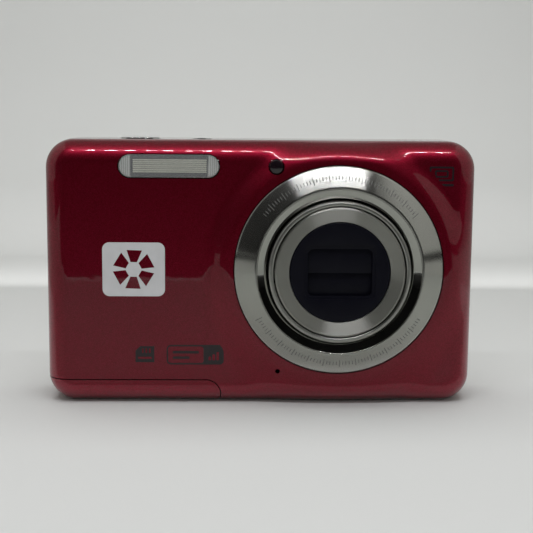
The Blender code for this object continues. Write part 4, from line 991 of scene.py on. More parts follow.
@dataclass
class LensTrim:
    """Turned metal ring round the barrels, with a scale of ticks on its cone and a black ring in the groove
    round it as painted shade.
    """

    layout: Layout
    radius: float = 22.1
    edge_height: float = 1.9
    lip_radius: float = 17.35
    lip_height: float = 4.1
    throat_radius: float = 15.46
    throat_height: float = 2.5
    seat_height: float = 0.3
    chamfer_slope: float = 20.0
    tick_inner: float = 18.9
    tick_outer: float = 20.5

    def build(self) -> None:
        """Make the ring and its scale."""
        metal = TurnedMetal(colour=(0.60, 0.60, 0.565), roughness=0.2, spread=0.9,
                            axis=(self.layout.lens_x, self.layout.lens_z))
        profile = [
            (self.throat_radius, self.throat_height), (self.lip_radius - 0.12, self.lip_height - 0.25),
            (self.lip_radius, self.lip_height), (self.lip_radius + 0.45, self.lip_height),
            (self.radius - 0.28, self.edge_height), (self.radius, self.edge_height - 0.25),
            (self.radius, self.seat_height),
        ]
        outside = eased(profile, 0.12)
        outside.append((self.throat_radius, self.seat_height))
        ring = turned("trim_ring", outside, Facing.FRONT, self.layout.lens(), 256, closed=True)
        finished(ring, metal.make("turned_trim"), "root", ["lens_trim_ring"], angle=60)
        self.chamfer(metal)
        # Black ring at the bottom of the gap between the trim and the shell: painted shade in the groove.
        groove = [(self.radius + 0.02, 1.0), (self.radius + 0.5, 1.0), (self.radius + 0.5, 0.05),
                  (self.radius + 0.02, 0.05)]
        groove_shade_ring = turned("groove_liner", groove, Facing.FRONT, self.layout.lens(), 192, closed=True)
        black = MouldedPlastic(colour=(0.004, 0.003, 0.004), roughness=0.5, specular=0.2)
        finished(groove_shade_ring, black.make("groove_black"), "root")
        self.ticks()

    def chamfer(self, metal: TurnedMetal) -> None:
        """Polished chamfer that leads into the throat."""
        inner, outer = self.throat_radius + 0.05, self.lip_radius - 0.1
        high = self.lip_height - 0.13
        low = high - (outer - inner) * math.tan(math.radians(self.chamfer_slope))
        profile = [(inner, low), (outer, high), (outer + 0.05, high - 0.3), (inner, low - 0.3)]
        band = turned("trim_chamfer", profile, Facing.FRONT, self.layout.lens(), 256, closed=True)
        polished = replace(metal, roughness=0.06, spread=0.0, depth=0.0)
        finished(band, polished.make("polished_chamfer"), "root", angle=40)

    def cone_height(self, radius: float) -> float:
        """Height of the cone at a radius."""
        inner, outer = self.lip_radius + 0.45, self.radius - 0.28
        share = (radius - inner) / (outer - inner)
        return self.lip_height + (self.edge_height - self.lip_height) * share

    def ticks(self) -> None:
        """Printed scale: short ticks over the top and along the bottom, every fifth one longer."""
        marks = []
        for start, count, pitch in ((37.0, 54, 2.0), (-149.0, 60, 2.0)):
            for i in range(count):
                length = 1.0 if i % 5 == 0 else 0.5
                marks.append(self.tick(math.radians(start + pitch * i), length))
        whole = merge("trim_scale", marks)
        ink = MouldedPlastic(colour=(0.10, 0.10, 0.095), roughness=0.35)
        finished(whole, ink.make("scale_ink"), "root")

    def tick(self, angle: float, length: float) -> bpy.types.Object:
        """One tick lying on the cone.

        Args:
            angle: its place round the ring.
            length: its length as a share of a long tick.

        Returns:
            The tick.
        """
        middle = (self.tick_inner + self.tick_outer) / 2
        half = (self.tick_outer - self.tick_inner) / 2 * length
        width, lift = 0.075, 0.02
        points = []
        for height in (-0.05, lift):
            for way, side in ((-1, -1), (1, -1), (1, 1), (-1, 1)):
                radius = middle + way * half
                x = radius * math.cos(angle) - side * width * math.sin(angle)
                z = radius * math.sin(angle) + side * width * math.cos(angle)
                points.append((self.layout.lens_x + x, self.layout.front - self.cone_height(radius) - height,
                               self.layout.lens_z + z))
        faces = [(3, 2, 1, 0), (4, 5, 6, 7), (0, 1, 5, 4), (1, 2, 6, 5), (2, 3, 7, 6), (3, 0, 4, 7)]
        return mesh_piece("tick", points, faces)


@dataclass
class Barrels:
    """Two telescoping barrels, the black front plate and its barrier, and the glass behind them."""

    layout: Layout
    outer_radius: float = 14.91
    outer_wall: float = 0.96
    inner_radius: float = 13.65
    inner_wall: float = 0.8
    rim_radius: float = 10.65
    plate_radius: float = 10.55
    standoff: float = 5.0
    tail: float = 8.6
    window_width: float = 13.5
    window_height: float = 9.9
    window_corner: float = 1.2
    lip_width: float = 0.75

    def build(self) -> None:
        """Make the barrels and what they hold."""
        axis = (self.layout.lens_x, self.layout.lens_z)
        rim = TurnedMetal(colour=(0.66, 0.655, 0.615), roughness=0.42, spread=1.0, axis=axis)
        tube = TurnedMetal(colour=(0.56, 0.56, 0.53), roughness=0.3, spread=0.6, axis=axis)
        black = MouldedPlastic(colour=(0.0025, 0.0025, 0.006), roughness=0.35, specular=0.16,
                               grain_depth=0.000001).make("plate_black")
        self.outer_barrel(tube.make("barrel_tube"))
        self.inner_barrel(rim.make("satin_rim"))
        self.front_plate(black)
        self.barrier(black)
        self.glass()

    def outer_barrel(self, metal: bpy.types.Material) -> None:
        """Outer barrel with a rounded front edge and one turned groove."""
        inner, top = self.outer_radius - self.outer_wall, self.standoff - 0.05
        profile = eased([
            (inner, top - 0.9), (inner, top - 0.12), (inner + 0.22, top), (self.outer_radius - 0.3, top),
            (self.outer_radius, top - 0.35), (self.outer_radius, top - 2.0),
            (self.outer_radius - 0.12, top - 2.1), (self.outer_radius - 0.12, top - 2.4),
            (self.outer_radius, top - 2.5), (self.outer_radius, -self.tail),
        ], 0.09)
        profile.append((inner, -self.tail))
        barrel = turned("outer_barrel_tube", profile, Facing.FRONT, self.layout.lens(), 256, closed=True)
        finished(barrel, metal, "outer_barrel", ["outer_barrel"], angle=50)

    def inner_barrel(self, metal: bpy.types.Material) -> None:
        """Inner barrel with a broad, slightly dished front rim and a seat for the front lens."""
        radius, bore, top = self.inner_radius, self.inner_radius - self.inner_wall, self.standoff
        front = eased([
            (self.rim_radius, top - 0.8), (self.rim_radius, top - 0.38), (radius - 0.75, top - 0.06),
            (radius - 0.5, top), (radius - 0.22, top), (radius, top - 0.25), (radius, -self.tail),
        ], 0.08)
        back = [(bore, -self.tail), (bore, 0.4), (9.3, 0.4), (9.3, 2.0), (bore, 2.0), (bore, top - 0.8)]
        barrel = turned("inner_barrel_tube", [*front, *back], Facing.FRONT, self.layout.lens(), 256,
                        closed=True)
        finished(barrel, metal, "inner_barrel", ["inner_barrel"], angle=50)

    def front_plate(self, black: bpy.types.Material) -> None:
        """Black disc with the picture opening and its stepped lip."""
        low, high = self.standoff - 0.95, self.standoff - 0.42
        profile = eased([(0.0, high), (self.plate_radius - 0.15, high), (self.plate_radius, high - 0.15),
                         (self.plate_radius, low)], 0.06)
        plate = turned("front_plate", [*profile, (0.0, low)], Facing.FRONT, self.layout.lens(), 192)
        lens = self.layout.lens()
        opening = rounded(self.window_width, self.window_height, self.window_corner)
        carve(plate, [slab("opening", opening, -10.0, 10.0, Facing.FRONT, lens)])
        lip = rounded(self.window_width + 2 * self.lip_width, self.window_height + 2 * self.lip_width,
                      self.window_corner + self.lip_width)
        carve(plate, [slab("lip", lip, high - 0.22, 10.0, Facing.FRONT, lens)])
        finished(plate, black, "inner_barrel", ["lens_front_plate"], edge=0.07)

    def barrier(self, black: bpy.types.Material) -> None:
        """Two blades that shut the opening, each with its front edges softened."""
        for node, body, side in (("barrier_blade_upper", "barrier_upper", 1),
                                 ("barrier_blade_lower", "barrier_lower", -1)):
            low, high = node_span(node)
            half, reach, travel = 7.3, 12.6, 5.3
            edge = math.acos(half / reach)
            sweep = [edge + (math.pi - 2 * edge) * i / 32 for i in range(33)]
            arc = [(reach * math.cos(a), reach * math.sin(a) - travel) for a in sweep]
            outline = [*arc, (-half, -0.2), (half, -0.2)]
            if side < 0:
                outline = [(u, -v) for u, v in reversed(outline)]
            centre = (self.layout.lens_x, 0.0, self.layout.lens_z)
            blade = slab(node + "_leaf", outline, -high.y, -low.y, Facing.FRONT, centre)
            finished(blade, black, body, [node], edge=0.03)

    def glass(self) -> None:
        """Front, zoom and focusing lenses with their true curves, the focusing lens moving with the focusing
        carriage.
        """
        coated = ClearPlastic(tint=(0.86, 0.90, 0.97), roughness=0.01, ior=1.6).make("coated_glass")
        for node, body, bulge in (("front_lens", "inner_barrel", 0.6), ("zoom_lens", "zoom_lens", 0.6),
                                  ("focus_lens", "focus_carriage", 0.3)):
            low, high = node_span(node)
            radius, top, bottom = (high.x - low.x) / 2, -low.y, -high.y
            dome = [(radius * i / 16, top - bulge * (i / 16) ** 2) for i in range(17)]
            bowl = [(r, bottom + (top - h)) for r, h in reversed(dome)]
            middle = node_middle(node)
            lens = turned(node + "_glass", [*dome, *bowl], Facing.FRONT, (middle.x, 0.0, middle.z), 128)
            finished(lens, coated, body, [node], angle=30)


# ---------------------------------------------------------------- flash and lamp


@dataclass
class FlashUnit:
    """Clear flash window over its ribs and louvres, and the lamp beside it."""

    layout: Layout
    thickness: float = 1.2
    core_width: float = 16.2
    core_height: float = 2.9
    louvres: int = 7
    ribs: int = 5

    def build(self) -> None:
        """Make the window, what shows through it, and the lamp."""
        low, high = node_span("flash_window")
        self.width, self.height = high.x - low.x, high.z - low.z
        self.middle = node_middle("flash_window")
        self.window()
        self.ends()
        self.core()
        self.lamp()

    def at(self, depth: float) -> tuple[float, float, float]:
        """Middle of the flash at a depth."""
        return (self.middle.x, self.layout.at(depth), self.middle.z)

    def window(self) -> None:
        """Clear cover, flush with the front and rounded along its edge."""
        outline = rounded(self.width, self.height, self.height / 2, steps=32)
        cover = slab("flash_cover", outline, -0.45, 0.0, Facing.FRONT, self.at(0.0))
        clear = ClearPlastic(tint=(0.90, 0.92, 0.90), roughness=0.03, transmission=0.0, alpha=0.08)
        finished(cover, clear.make("flash_clear"), "root", ["flash_window"], edge=0.12)

    def ends(self) -> None:
        """Moulded ends with curved upright ribs, and the dark frame between them."""
        grey = MouldedPlastic(colour=(0.22, 0.23, 0.215), roughness=0.35, coat=0.3).make("flash_end_grey")
        outline = rounded(self.width - 0.1, self.height - 0.1, self.height / 2 - 0.05, steps=32)
        body = slab("flash_moulding", outline, -self.thickness, -0.6, Facing.FRONT, self.at(0.0))
        core = rounded(self.core_width, self.core_height + 1.7, 0.25)
        carve(body, [slab("core_cut", core, -2.0, 1.0, Facing.FRONT, self.at(0.0))])
        finished(body, grey, "root", edge=0.05)
        ribs = []
        for side in (-1, 1):
            for i in range(self.ribs):
                across = side * (self.core_width / 2 + 0.35 + 0.42 * i)
                reach = self.height / 2 - 0.15
                over = max(0.0, abs(across) - (self.width - self.height) / 2)
                tall = 2 * math.sqrt(max(0.05, reach ** 2 - over ** 2)) - 0.2
                place = (self.middle.x + across, self.layout.at(0.0), self.middle.z)
                ribs.append(slab("rib", rounded(0.2, tall, 0.1, steps=4), -0.62, -0.49, Facing.FRONT, place))
        light = MouldedPlastic(colour=(0.34, 0.35, 0.34), roughness=0.3, coat=0.3).make("flash_rib_grey")
        finished(merge("flash_ribs", ribs), light, "root")

    def core(self) -> None:
        """Lit middle: a row of level louvres over a dark plate, which shows as dark strips above and below
        them.
        """
        bright = MouldedPlastic(colour=(0.30, 0.305, 0.25), roughness=0.3, coat=0.3).make("flash_louvre")
        dark = MouldedPlastic(colour=(0.010, 0.010, 0.018), roughness=0.3, coat=0.5).make("flash_dark")
        back = slab("flash_back", rounded(self.core_width, self.core_height + 1.7, 0.25), -0.62, -0.57,
                    Facing.FRONT, self.at(0.0))
        finished(back, dark, "root")
        bars = []
        pitch = self.core_height / self.louvres
        for i in range(self.louvres):
            up = self.middle.z + pitch * (i - (self.louvres - 1) / 2)
            place = (self.middle.x + 0.15, self.layout.at(0.0), up)
            height = pitch * (0.8 if i % 2 else 0.66)
            bar = rounded(self.core_width - 0.7, height, height / 2, steps=5)
            bars.append(slab("louvre", bar, -0.58, -0.49, Facing.FRONT, place))
        finished(merge("flash_louvres", bars), bright, "root", edge=0.04)

    def lamp(self) -> None:
        """Domed dark lamp in its collar."""
        low, high = node_span("af_lamp_lens")
        middle = node_middle("af_lamp_lens")
        radius, crown = (high.x - low.x) / 2, -low.y
        profile = [(radius * i / 12, crown - 0.35 * (i / 12) ** 2) for i in range(12)]
        profile += [(radius, crown - 0.5), (radius, -high.y), (0.0, -high.y)]
        lamp = turned("focus_lamp", profile, Facing.FRONT, (middle.x, 0.0, middle.z), 96)
        glossy = MouldedPlastic(colour=(0.006, 0.003, 0.005), roughness=0.12, coat=1.0, grain_depth=0.0)
        finished(lamp, glossy.make("lamp_dark"), "root", ["af_lamp_lens"])


# ---------------------------------------------------------------- markings


@dataclass
class Markings:
    """Plain printed signs of no particular maker: an iris on a plate, a card, a badge and a zoom sign."""

    layout: Layout
    lift: float = 0.025
    plate_at: tuple[float, float] = (-26.9, 29.15)
    plate_size: tuple[float, float] = (13.2, 11.5)
    badge_at: tuple[float, float] = (-13.9, 10.75)
    badge_size: tuple[float, float] = (12.2, 4.3)
    card_at: tuple[float, float] = (-24.65, 10.85)
    zoom_at: tuple[float, float] = (37.95, 49.75)

    def build(self) -> None:
        """Print each sign."""
        pale = MouldedPlastic(colour=(0.50, 0.50, 0.51), roughness=0.35, coat=0.4).make("pale_ink")
        dark = MouldedPlastic(colour=(0.012, 0.006, 0.009), roughness=0.35, coat=0.4).make("dark_ink")
        finished(self.iris_plate(), pale, "root")
        finished(self.badge(), dark, "root")
        finished(self.card(), dark, "root")
        finished(self.zoom_sign(), dark, "root")

    def patch(self, outline: Outline, x: float, z: float) -> bpy.types.Object:
        """Thin printed shape on the flat front."""
        return slab("patch", outline, -0.05, self.lift, Facing.FRONT, (x, self.layout.front, z))

    def iris_plate(self) -> bpy.types.Object:
        """Rounded plate with a six-bladed iris left clear in it."""
        x, z = self.plate_at
        plate = self.patch(rounded(*self.plate_size, 1.5), x, z)
        plate.name = "iris_plate"
        blades = []
        inner, outer = 1.7, 4.4
        for i in range(6):
            turn = math.pi / 3 * i
            points = [(inner, 0.16), (outer, 0.16 + 0.3), (outer * math.cos(0.86), outer * math.sin(0.86)),
                      (inner * math.cos(0.92), inner * math.sin(0.92))]
            spun = [(u * math.cos(turn) - v * math.sin(turn), u * math.sin(turn) + v * math.cos(turn))
                    for u, v in points]
            blades.append(slab("blade", spun, -1.0, 1.0, Facing.FRONT, (x, self.layout.front, z)))
        return carve(plate, blades)

    def badge(self) -> bpy.types.Object:
        """Outlined badge with its right third filled and two bars in the rest."""
        x, z = self.badge_at
        width, height = self.badge_size
        frame = self.patch(rounded(width, height, 0.9), x, z)
        frame.name = "badge"
        inner = rounded(width * 0.62, height - 0.7, 0.55)
        clear = (x - width * 0.165, self.layout.front, z)
        carve(frame, [slab("clear", inner, -1.0, 1.0, Facing.FRONT, clear)])
        shapes = [self.patch(rounded(5.6, 0.55, 0.2), x - 2.0, z + 0.55),
                  self.patch(rounded(3.6, 0.55, 0.2), x - 3.0, z - 0.65)]
        steps = [slab("step", rounded(0.55, 0.8 + 0.5 * i, 0.12), -1.0, 1.0, Facing.FRONT,
                      (x + 3.1 + 0.85 * i, self.layout.front, z - 0.8 + 0.25 * i)) for i in range(3)]
        carve(frame, steps)
        return merge("badge_sign", [frame, *shapes])

    def card(self) -> bpy.types.Object:
        """Memory card with a clipped corner and its contacts."""
        x, z = self.card_at
        outline = [(-2.0, -1.75), (2.0, -1.75), (2.0, 1.75), (-1.0, 1.75), (-2.0, 0.75)]
        card = self.patch(outline, x, z)
        card.name = "card_sign"
        contacts = [slab("contact", rounded(0.36, 1.0, 0.1), -1.0, 1.0, Facing.FRONT,
                         (x - 0.45 + 0.75 * i, self.layout.front, z + 0.75)) for i in range(3)]
        label = (x, self.layout.front, z - 0.8)
        contacts.append(slab("label", rounded(2.9, 0.5, 0.1), -1.0, 1.0, Facing.FRONT, label))
        return carve(card, contacts)

    def zoom_sign(self) -> bpy.types.Object:
        """Two frames, one in the other, that stand for the zoom, over a rule."""
        x, z = self.zoom_at
        shapes = []
        for width, height in ((5.2, 3.1), (2.9, 1.6)):
            frame = self.patch(rounded(width, height, 0.35), x, z)
            inside = rounded(width - 0.8, height - 0.8, 0.1)
            shapes.append(carve(frame, [slab("inside", inside, -1.0, 1.0, Facing.FRONT,
                                             (x, self.layout.front, z))]))
        shapes.append(self.patch(rounded(5.2, 0.5, 0.2), x, z - 2.35))
        return merge("zoom_sign", shapes)


# ---------------------------------------------------------------- controls


def renamed(piece: bpy.types.Object, name: str) -> bpy.types.Object:
    """Give a piece its own name."""
    piece.name = name
    return piece


@dataclass
class TopControls:
    """Shutter release and power button."""

    layout: Layout
    shutter_width: float = 8.4
    shutter_depth: float = 5.2
    power_radius: float = 1.95

    def build(self) -> None:
        """Make both buttons."""
        chrome = PlainMetal(colour=(0.72, 0.72, 0.73), roughness=0.12).make("bright_chrome")
        self.shutter(chrome)
        self.power(chrome)

    def stem(self, node: str, cap_low: float, radius: float) -> bpy.types.Object:
        """Stem and flange of a button under its cap."""
        low, _ = node_span(node)
        middle = node_middle(node)
        flange = radius + 0.5
        profile = [(0.0, cap_low), (flange, cap_low), (flange, cap_low - 0.9), (1.0, cap_low - 0.9),
                   (1.0, low.z), (0.0, low.z)]
        return turned(node + "_stem", profile, Facing.UP, (middle.x, middle.y, 0.0), 64)

    def shutter(self, chrome: bpy.types.Material) -> None:
        """Oval release with a dished top."""
        _, high = node_span("shutter_button")
        middle = node_middle("shutter_button")
        top, base = high.z, self.layout.top - 1.6
        outline = rounded(self.shutter_width, self.shutter_depth, self.shutter_depth / 2, steps=24)
        cap = slab("shutter_cap", outline, base, top, Facing.UP, (middle.x, middle.y, 0.0))
        profile = [(0.0, 30.0), (22.0, 30.0), (22.0, 21.0), (20.0, 9.17), (15.0, 3.2), (10.0, 1.3),
                   (5.0, 0.3), (0.0, 0.0)]
        dish = turned("dish", profile, Facing.UP, (middle.x, middle.y, top - 0.14), 96)
        carve(cap, [dish])
        whole = merge("shutter_release", [cap, self.stem("shutter_button", base - 0.05, 2.4)])
        finished(whole, chrome, "shutter_button", ["shutter_button"], edge=0.14)

    def power(self, chrome: bpy.types.Material) -> None:
        """Round button with a ring groove in its top."""
        _, high = node_span("power_button")
        middle = node_middle("power_button")
        top, base = high.z, self.layout.top - 1.6
        profile = eased([(0.0, top - 0.08), (1.1, top - 0.08), (1.2, top), (self.power_radius, top),
                         (self.power_radius, base)], 0.12)
        cap = turned("power_cap", [*profile, (0.0, base)], Facing.UP, (middle.x, middle.y, 0.0), 96)
        whole = merge("power_switch_cap", [cap, self.stem("power_button", base - 0.05, 1.3)])
        finished(whole, chrome, "power_button", ["power_button"], angle=45)


@dataclass
class RearControls:
    """Display window, round buttons, navigation ring, centre button and zoom rocker."""

    layout: Layout
    button_radius: float = 2.2
    nav_radius: float = 8.2
    nav_hole: float = 4.5
    set_radius: float = 4.1
    glass_border: float = 2.2

    def build(self) -> None:
        """Make the back's pieces."""
        satin = MouldedPlastic(colour=(0.25, 0.25, 0.26), roughness=0.3, coat=0.3).make("button_grey")
        ink = MouldedPlastic(colour=(0.75, 0.75, 0.76), roughness=0.4).make("button_ink")
        self.display()
        for node in ("record_button", "play_button", "menu_button", "delete_button"):
            self.round_button(node, satin)
        self.signs(ink)
        self.nav_ring(satin, ink)
        self.set_button(satin)
        self.rocker(satin, ink)
        self.status_lamp()

    def display(self) -> None:
        """Black glass with bevelled edges, and the screen area under it."""
        low, high = node_span("lcd_glass")
        middle = node_middle("lcd_glass")
        width, height = high.x - low.x, high.z - low.z
        centre = (middle.x, 0.0, middle.z)
        black = MouldedPlastic(colour=(0.003, 0.003, 0.0035), roughness=0.06, coat=1.0, grain_depth=0.0)
        glass = slab("display_window", rounded(width, height, 0.9), low.y, high.y - 0.01, Facing.BACK, centre)
        finished(glass, black.make("display_black"), "root", ["lcd_glass"], edge=0.15)
        screen = rounded(width - 2 * self.glass_border, height - 2 * self.glass_border, 0.3)
        panel = slab("display_screen", screen, high.y - 0.05, high.y, Facing.BACK, centre)
        dull = MouldedPlastic(colour=(0.018, 0.020, 0.024), roughness=0.16, coat=1.0, grain_depth=0.0)
        finished(panel, dull.make("display_screen_grey"), "root")

    def round_button(self, node: str, satin: bpy.types.Material) -> None:
        """Domed round button with its flange."""
        low, high = node_span(node)
        middle = node_middle(node)
        radius, top, base = self.button_radius, high.y, low.y
        dome = [(radius * i / 10, top - 0.18 * (i / 10) ** 2) for i in range(10)]
        profile = [*dome, (radius - 0.1, top - 0.25), (radius, top - 0.4), (radius, base + 0.7),
                   (radius + 0.55, base + 0.7), (radius + 0.55, base), (0.0, base)]
        button = turned(node + "_cap", profile, Facing.BACK, (middle.x, 0.0, middle.z), 96)
        finished(button, satin, node, [node])

    def mark(self, outline: Outline, node: str, lift: float, across: float = 0.0,
             up: float = 0.0) -> bpy.types.Object:
        """Small printed shape on a control's outer face."""
        _, high = node_span(node)
        middle = node_middle(node)
        centre = (middle.x - across, 0.0, middle.z + up)
        return slab("mark", outline, high.y - 0.12 + lift, high.y + lift, Facing.BACK, centre)

    def signs(self, ink: bpy.types.Material) -> None:
        """Generic signs: play triangle, menu lines, waste bin, and the record dot in red."""
        triangle = [(-0.6, -0.75), (0.8, 0.0), (-0.6, 0.75)]
        finished(renamed(self.mark(triangle, "play_button", 0.02), "play_sign"), ink, "play_button")
        lines = [self.mark(rounded(1.7, 0.26, 0.1), "menu_button", 0.02, up=0.6 * i) for i in (-1, 0, 1)]
        finished(merge("menu_sign", lines), ink, "menu_button")
        bin_parts = [self.mark(rounded(1.1, 1.2, 0.15), "delete_button", 0.02, up=-0.25),
                     self.mark(rounded(1.6, 0.25, 0.1), "delete_button", 0.02, up=0.6)]
        finished(merge("delete_sign", bin_parts), ink, "delete_button")
        red = MouldedPlastic(colour=(0.50, 0.01, 0.01), roughness=0.3, coat=0.5).make("record_red")
        dot = renamed(self.mark(ring_of(0.65, 32), "record_button", 0.02), "record_sign")
        finished(dot, red, "record_button")

    def nav_ring(self, satin: bpy.types.Material, ink: bpy.types.Material) -> None:
        """Dished ring with four printed arrows."""
        low, high = node_span("nav_ring")
        middle = node_middle("nav_ring")
        top, base, hole, rim = high.y, low.y, self.nav_hole, self.nav_radius
        profile = eased([(hole, top - 0.6), (hole, top - 0.4), (hole + 0.5, top - 0.25), (rim - 0.7, top),
                         (rim - 0.15, top - 0.05), (rim, top - 0.3), (rim, base + 0.3)], 0.15)
        profile += [(rim + 0.3, base + 0.3), (rim + 0.3, base), (hole, base)]
        ring = turned("nav_ring_cap", profile, Facing.BACK, (middle.x, 0.0, middle.z), 160, closed=True)
        finished(ring, satin, "nav_ring", ["nav_ring"], angle=50)
        arrows = []
        for i in range(4):
            turn = math.pi / 2 * i
            tip = [(6.9, 0.0), (6.1, 0.65), (6.1, -0.65)]
            spun = [(u * math.cos(turn) - v * math.sin(turn), u * math.sin(turn) + v * math.cos(turn))
                    for u, v in tip]
            arrows.append(slab("arrow", spun, top - 0.3, top - 0.02, Facing.BACK, (middle.x, 0.0, middle.z)))
        finished(merge("nav_arrows", arrows), ink, "nav_ring")

    def set_button(self, satin: bpy.types.Material) -> None:
        """Centre button with a shallow dish."""
        low, high = node_span("set_button")
        middle = node_middle("set_button")
        radius, top, base = self.set_radius, high.y, low.y
        dish = [(radius * 0.8 * i / 10, top - 0.2 + 0.2 * (i / 10) ** 2) for i in range(11)]
        profile = [*dish, (radius - 0.25, top), (radius, top - 0.25), (radius, base), (0.0, base)]
        button = turned("set_button_cap", profile, Facing.BACK, (middle.x, 0.0, middle.z), 128)
        finished(button, satin, "set_button", ["set_button"])

    def rocker(self, satin: bpy.types.Material, ink: bpy.types.Material) -> None:
        """Zoom rocker with raised ends and its two signs."""
        low, high = node_span("zoom_rocker")
        middle = node_middle("zoom_rocker")
        width, height = high.x - low.x, high.z - low.z
        centre = (middle.x, 0.0, middle.z)
        outline = rounded(width, height, height / 2, steps=24)
        cap = slab("zoom_rocker_cap", outline, low.y, high.y, Facing.BACK, centre)
        profile = [(0.0, 30.0), (40.0, 30.0), (40.0, 20.0), (24.0, 6.6), (12.0, 1.55), (6.0, 0.4),
                   (0.0, 0.0)]
        valley = turned("valley", profile, Facing.BACK, (middle.x, high.y - 0.28, middle.z), 96)
        carve(cap, [valley])
        finished(cap, satin, "zoom_rocker", ["zoom_rocker"], edge=0.15)
        signs = []
        level, upright = rounded(1.5, 0.3, 0.1), rounded(0.3, 1.5, 0.1)
        for side, outline, lift in ((-1, level, 0.02), (1, level, 0.02), (1, upright, 0.03)):
            place = (middle.x - side * 3.6, 0.0, middle.z)
            signs.append(slab("dash", outline, high.y - 0.4, high.y - lift, Facing.BACK, place))
        finished(merge("zoom_signs", signs), ink, "zoom_rocker")

    def status_lamp(self) -> None:
        """Small domed status lamp."""
        low, high = node_span("status_led")
        middle = node_middle("status_led")
        radius = (high.x - low.x) / 2
        dome = [(radius * i / 8, high.y - 0.12 * (i / 8) ** 2) for i in range(9)]
        lamp = turned("status_lamp", [*dome, (radius, low.y), (0.0, low.y)], Facing.BACK,
                      (middle.x, 0.0, middle.z), 48)
        amber = MouldedPlastic(colour=(0.55, 0.20, 0.02), roughness=0.15, coat=1.0, grain_depth=0.0)
        finished(lamp, amber.make("amber_lamp"), "root", ["status_led"])


# ---------------------------------------------------------------- ends and base


@dataclass
class Fittings:
    """Strap bar, socket, tripod bush and screws."""

    layout: Layout
    thread_pitch: float = 1.27

    def build(self) -> None:
        """Make the fittings."""
        steel = PlainMetal(colour=(0.42, 0.42, 0.43), roughness=0.3).make("screw_steel")
        self.strap_bar()
        self.socket()
        self.bush()
        for node in ("case_screw_1", "case_screw_2", "case_screw_3"):
            self.screw(node, steel)

    def strap_bar(self) -> None:
        """Round bar with a slight waist for the strap's loop."""
        low, high = node_span("strap_bar")
        middle = node_middle("strap_bar")
        radius, length = (high.x - low.x) / 2, high.z - low.z
        profile = [(0.0, high.z)]
        for i in range(17):
            share = i / 16
            waist = 0.12 * math.sin(math.pi * share)
            profile.append((radius - waist, high.z - length * share))
        profile.append((0.0, low.z))
        bar = turned("strap_bar_pin", profile, Facing.UP, (middle.x, middle.y, 0.0), 48)
        chrome = PlainMetal(colour=(0.70, 0.70, 0.71), roughness=0.14).make("strap_chrome")
        finished(bar, chrome, "root", ["strap_bar"])

    def socket(self) -> None:
        """Stamped socket shell with its contact tongue and contacts."""
        low, high = node_span("usb_port")
        middle = node_middle("usb_port")
        depth, height = high.y - low.y, high.z - low.z
        place = (0.0, middle.y, middle.z)
        shell = slab("socket_shell", rounded(depth, height, 0.8), low.x, high.x, Facing.RIGHT, place)
        inner = rounded(depth - 0.7, height - 0.7, 0.5)
        carve(shell, [slab("mouth", inner, low.x + 1.0, high.x + 1.0, Facing.RIGHT, place)])
        metal = PlainMetal(colour=(0.55, 0.55, 0.56), roughness=0.25).make("socket_metal")
        finished(shell, metal, "root", ["usb_port"], edge=0.06)
        blade = rounded(0.7, height - 2.1, 0.1)
        tongue = slab("socket_tongue", blade, low.x + 1.0, high.x - 1.0, Facing.RIGHT, place)
        black = MouldedPlastic(colour=(0.01, 0.01, 0.011)).make("tongue_black")
        finished(tongue, black, "root")
        strips = []
        for i in range(5):
            up = middle.z + 0.85 * (i - 2)
            outline = rounded(0.06, 0.35, 0.02, steps=2)
            strips.append(slab("contact", outline, low.x + 1.2, high.x - 1.2, Facing.RIGHT,
                               (0.0, middle.y - 0.38, up)))
        gold = PlainMetal(colour=(0.80, 0.60, 0.28), roughness=0.25).make("contact_gold")
        finished(merge("socket_contacts", strips), gold, "root")

    def bush(self) -> None:
        """Tripod bush with a threaded bore and a chamfered mouth."""
        middle = node_middle("tripod_bush")
        low, high = node_span("tripod_bush")
        outer, bore, crest, face = 4.0, 3.17, 0.35, low.z
        profile = [(0.0, high.z), (outer, high.z), (outer, 2.6), (outer + 0.5, 2.6), (outer + 0.5, 1.55),
                   (outer, 1.55), (outer, face + 0.1), (outer - 0.1, face), (bore + 0.25, face),
                   (bore, face + 0.25)]
        turns = 4
        for i in range(turns):
            start = face + 0.35 + self.thread_pitch * i
            inner = bore - crest + 0.05
            profile += [(bore, start), (inner, start + 0.45), (inner, start + 0.6), (bore, start + 1.05)]
        profile += [(bore, 5.5), (0.0, 5.5)]
        bush = turned("tripod_thread", profile, Facing.UP, (middle.x, middle.y, 0.0), 96)
        brass = PlainMetal(colour=(0.55, 0.43, 0.22), roughness=0.28).make("turned_brass")
        finished(bush, brass, "root", ["tripod_bush"], angle=25)

    def screw(self, node: str, steel: bpy.types.Material) -> None:
        """Casing screw with a rounded head and a cross in it."""
        low, high = node_span(node)
        middle = node_middle(node)
        sideways = high.x - low.x > 3.0
        length = (high.x - low.x) if sideways else (high.z - low.z)
        facing = Facing.RIGHT if sideways else Facing.DOWN
        place = (high.x, middle.y, middle.z) if sideways else (middle.x, middle.y, low.z)
        dome = [(1.3 * i / 8, -0.14 * (i / 8) ** 2) for i in range(9)]
        profile = [*dome, (1.3, -0.45), (0.65, -0.45)]
        for i in range(8):
            start = -0.7 - 0.45 * i
            profile += [(0.52, start), (0.65, start - 0.2)]
        profile += [(0.4, -length), (0.0, -length)]
        screw = turned(node + "_body", profile, facing, place, 64)
        cross = [slab("slot", rounded(1.5, 0.34, 0.1, steps=3), -0.32, 1.0, facing, place)]
        carve(screw, cross)
        carve(screw, [slab("slot", rounded(0.34, 1.5, 0.1, steps=3), -0.32, 1.0, facing, place)])
        finished(screw, steel, "root", [node], angle=30)


# ---------------------------------------------------------------- inside


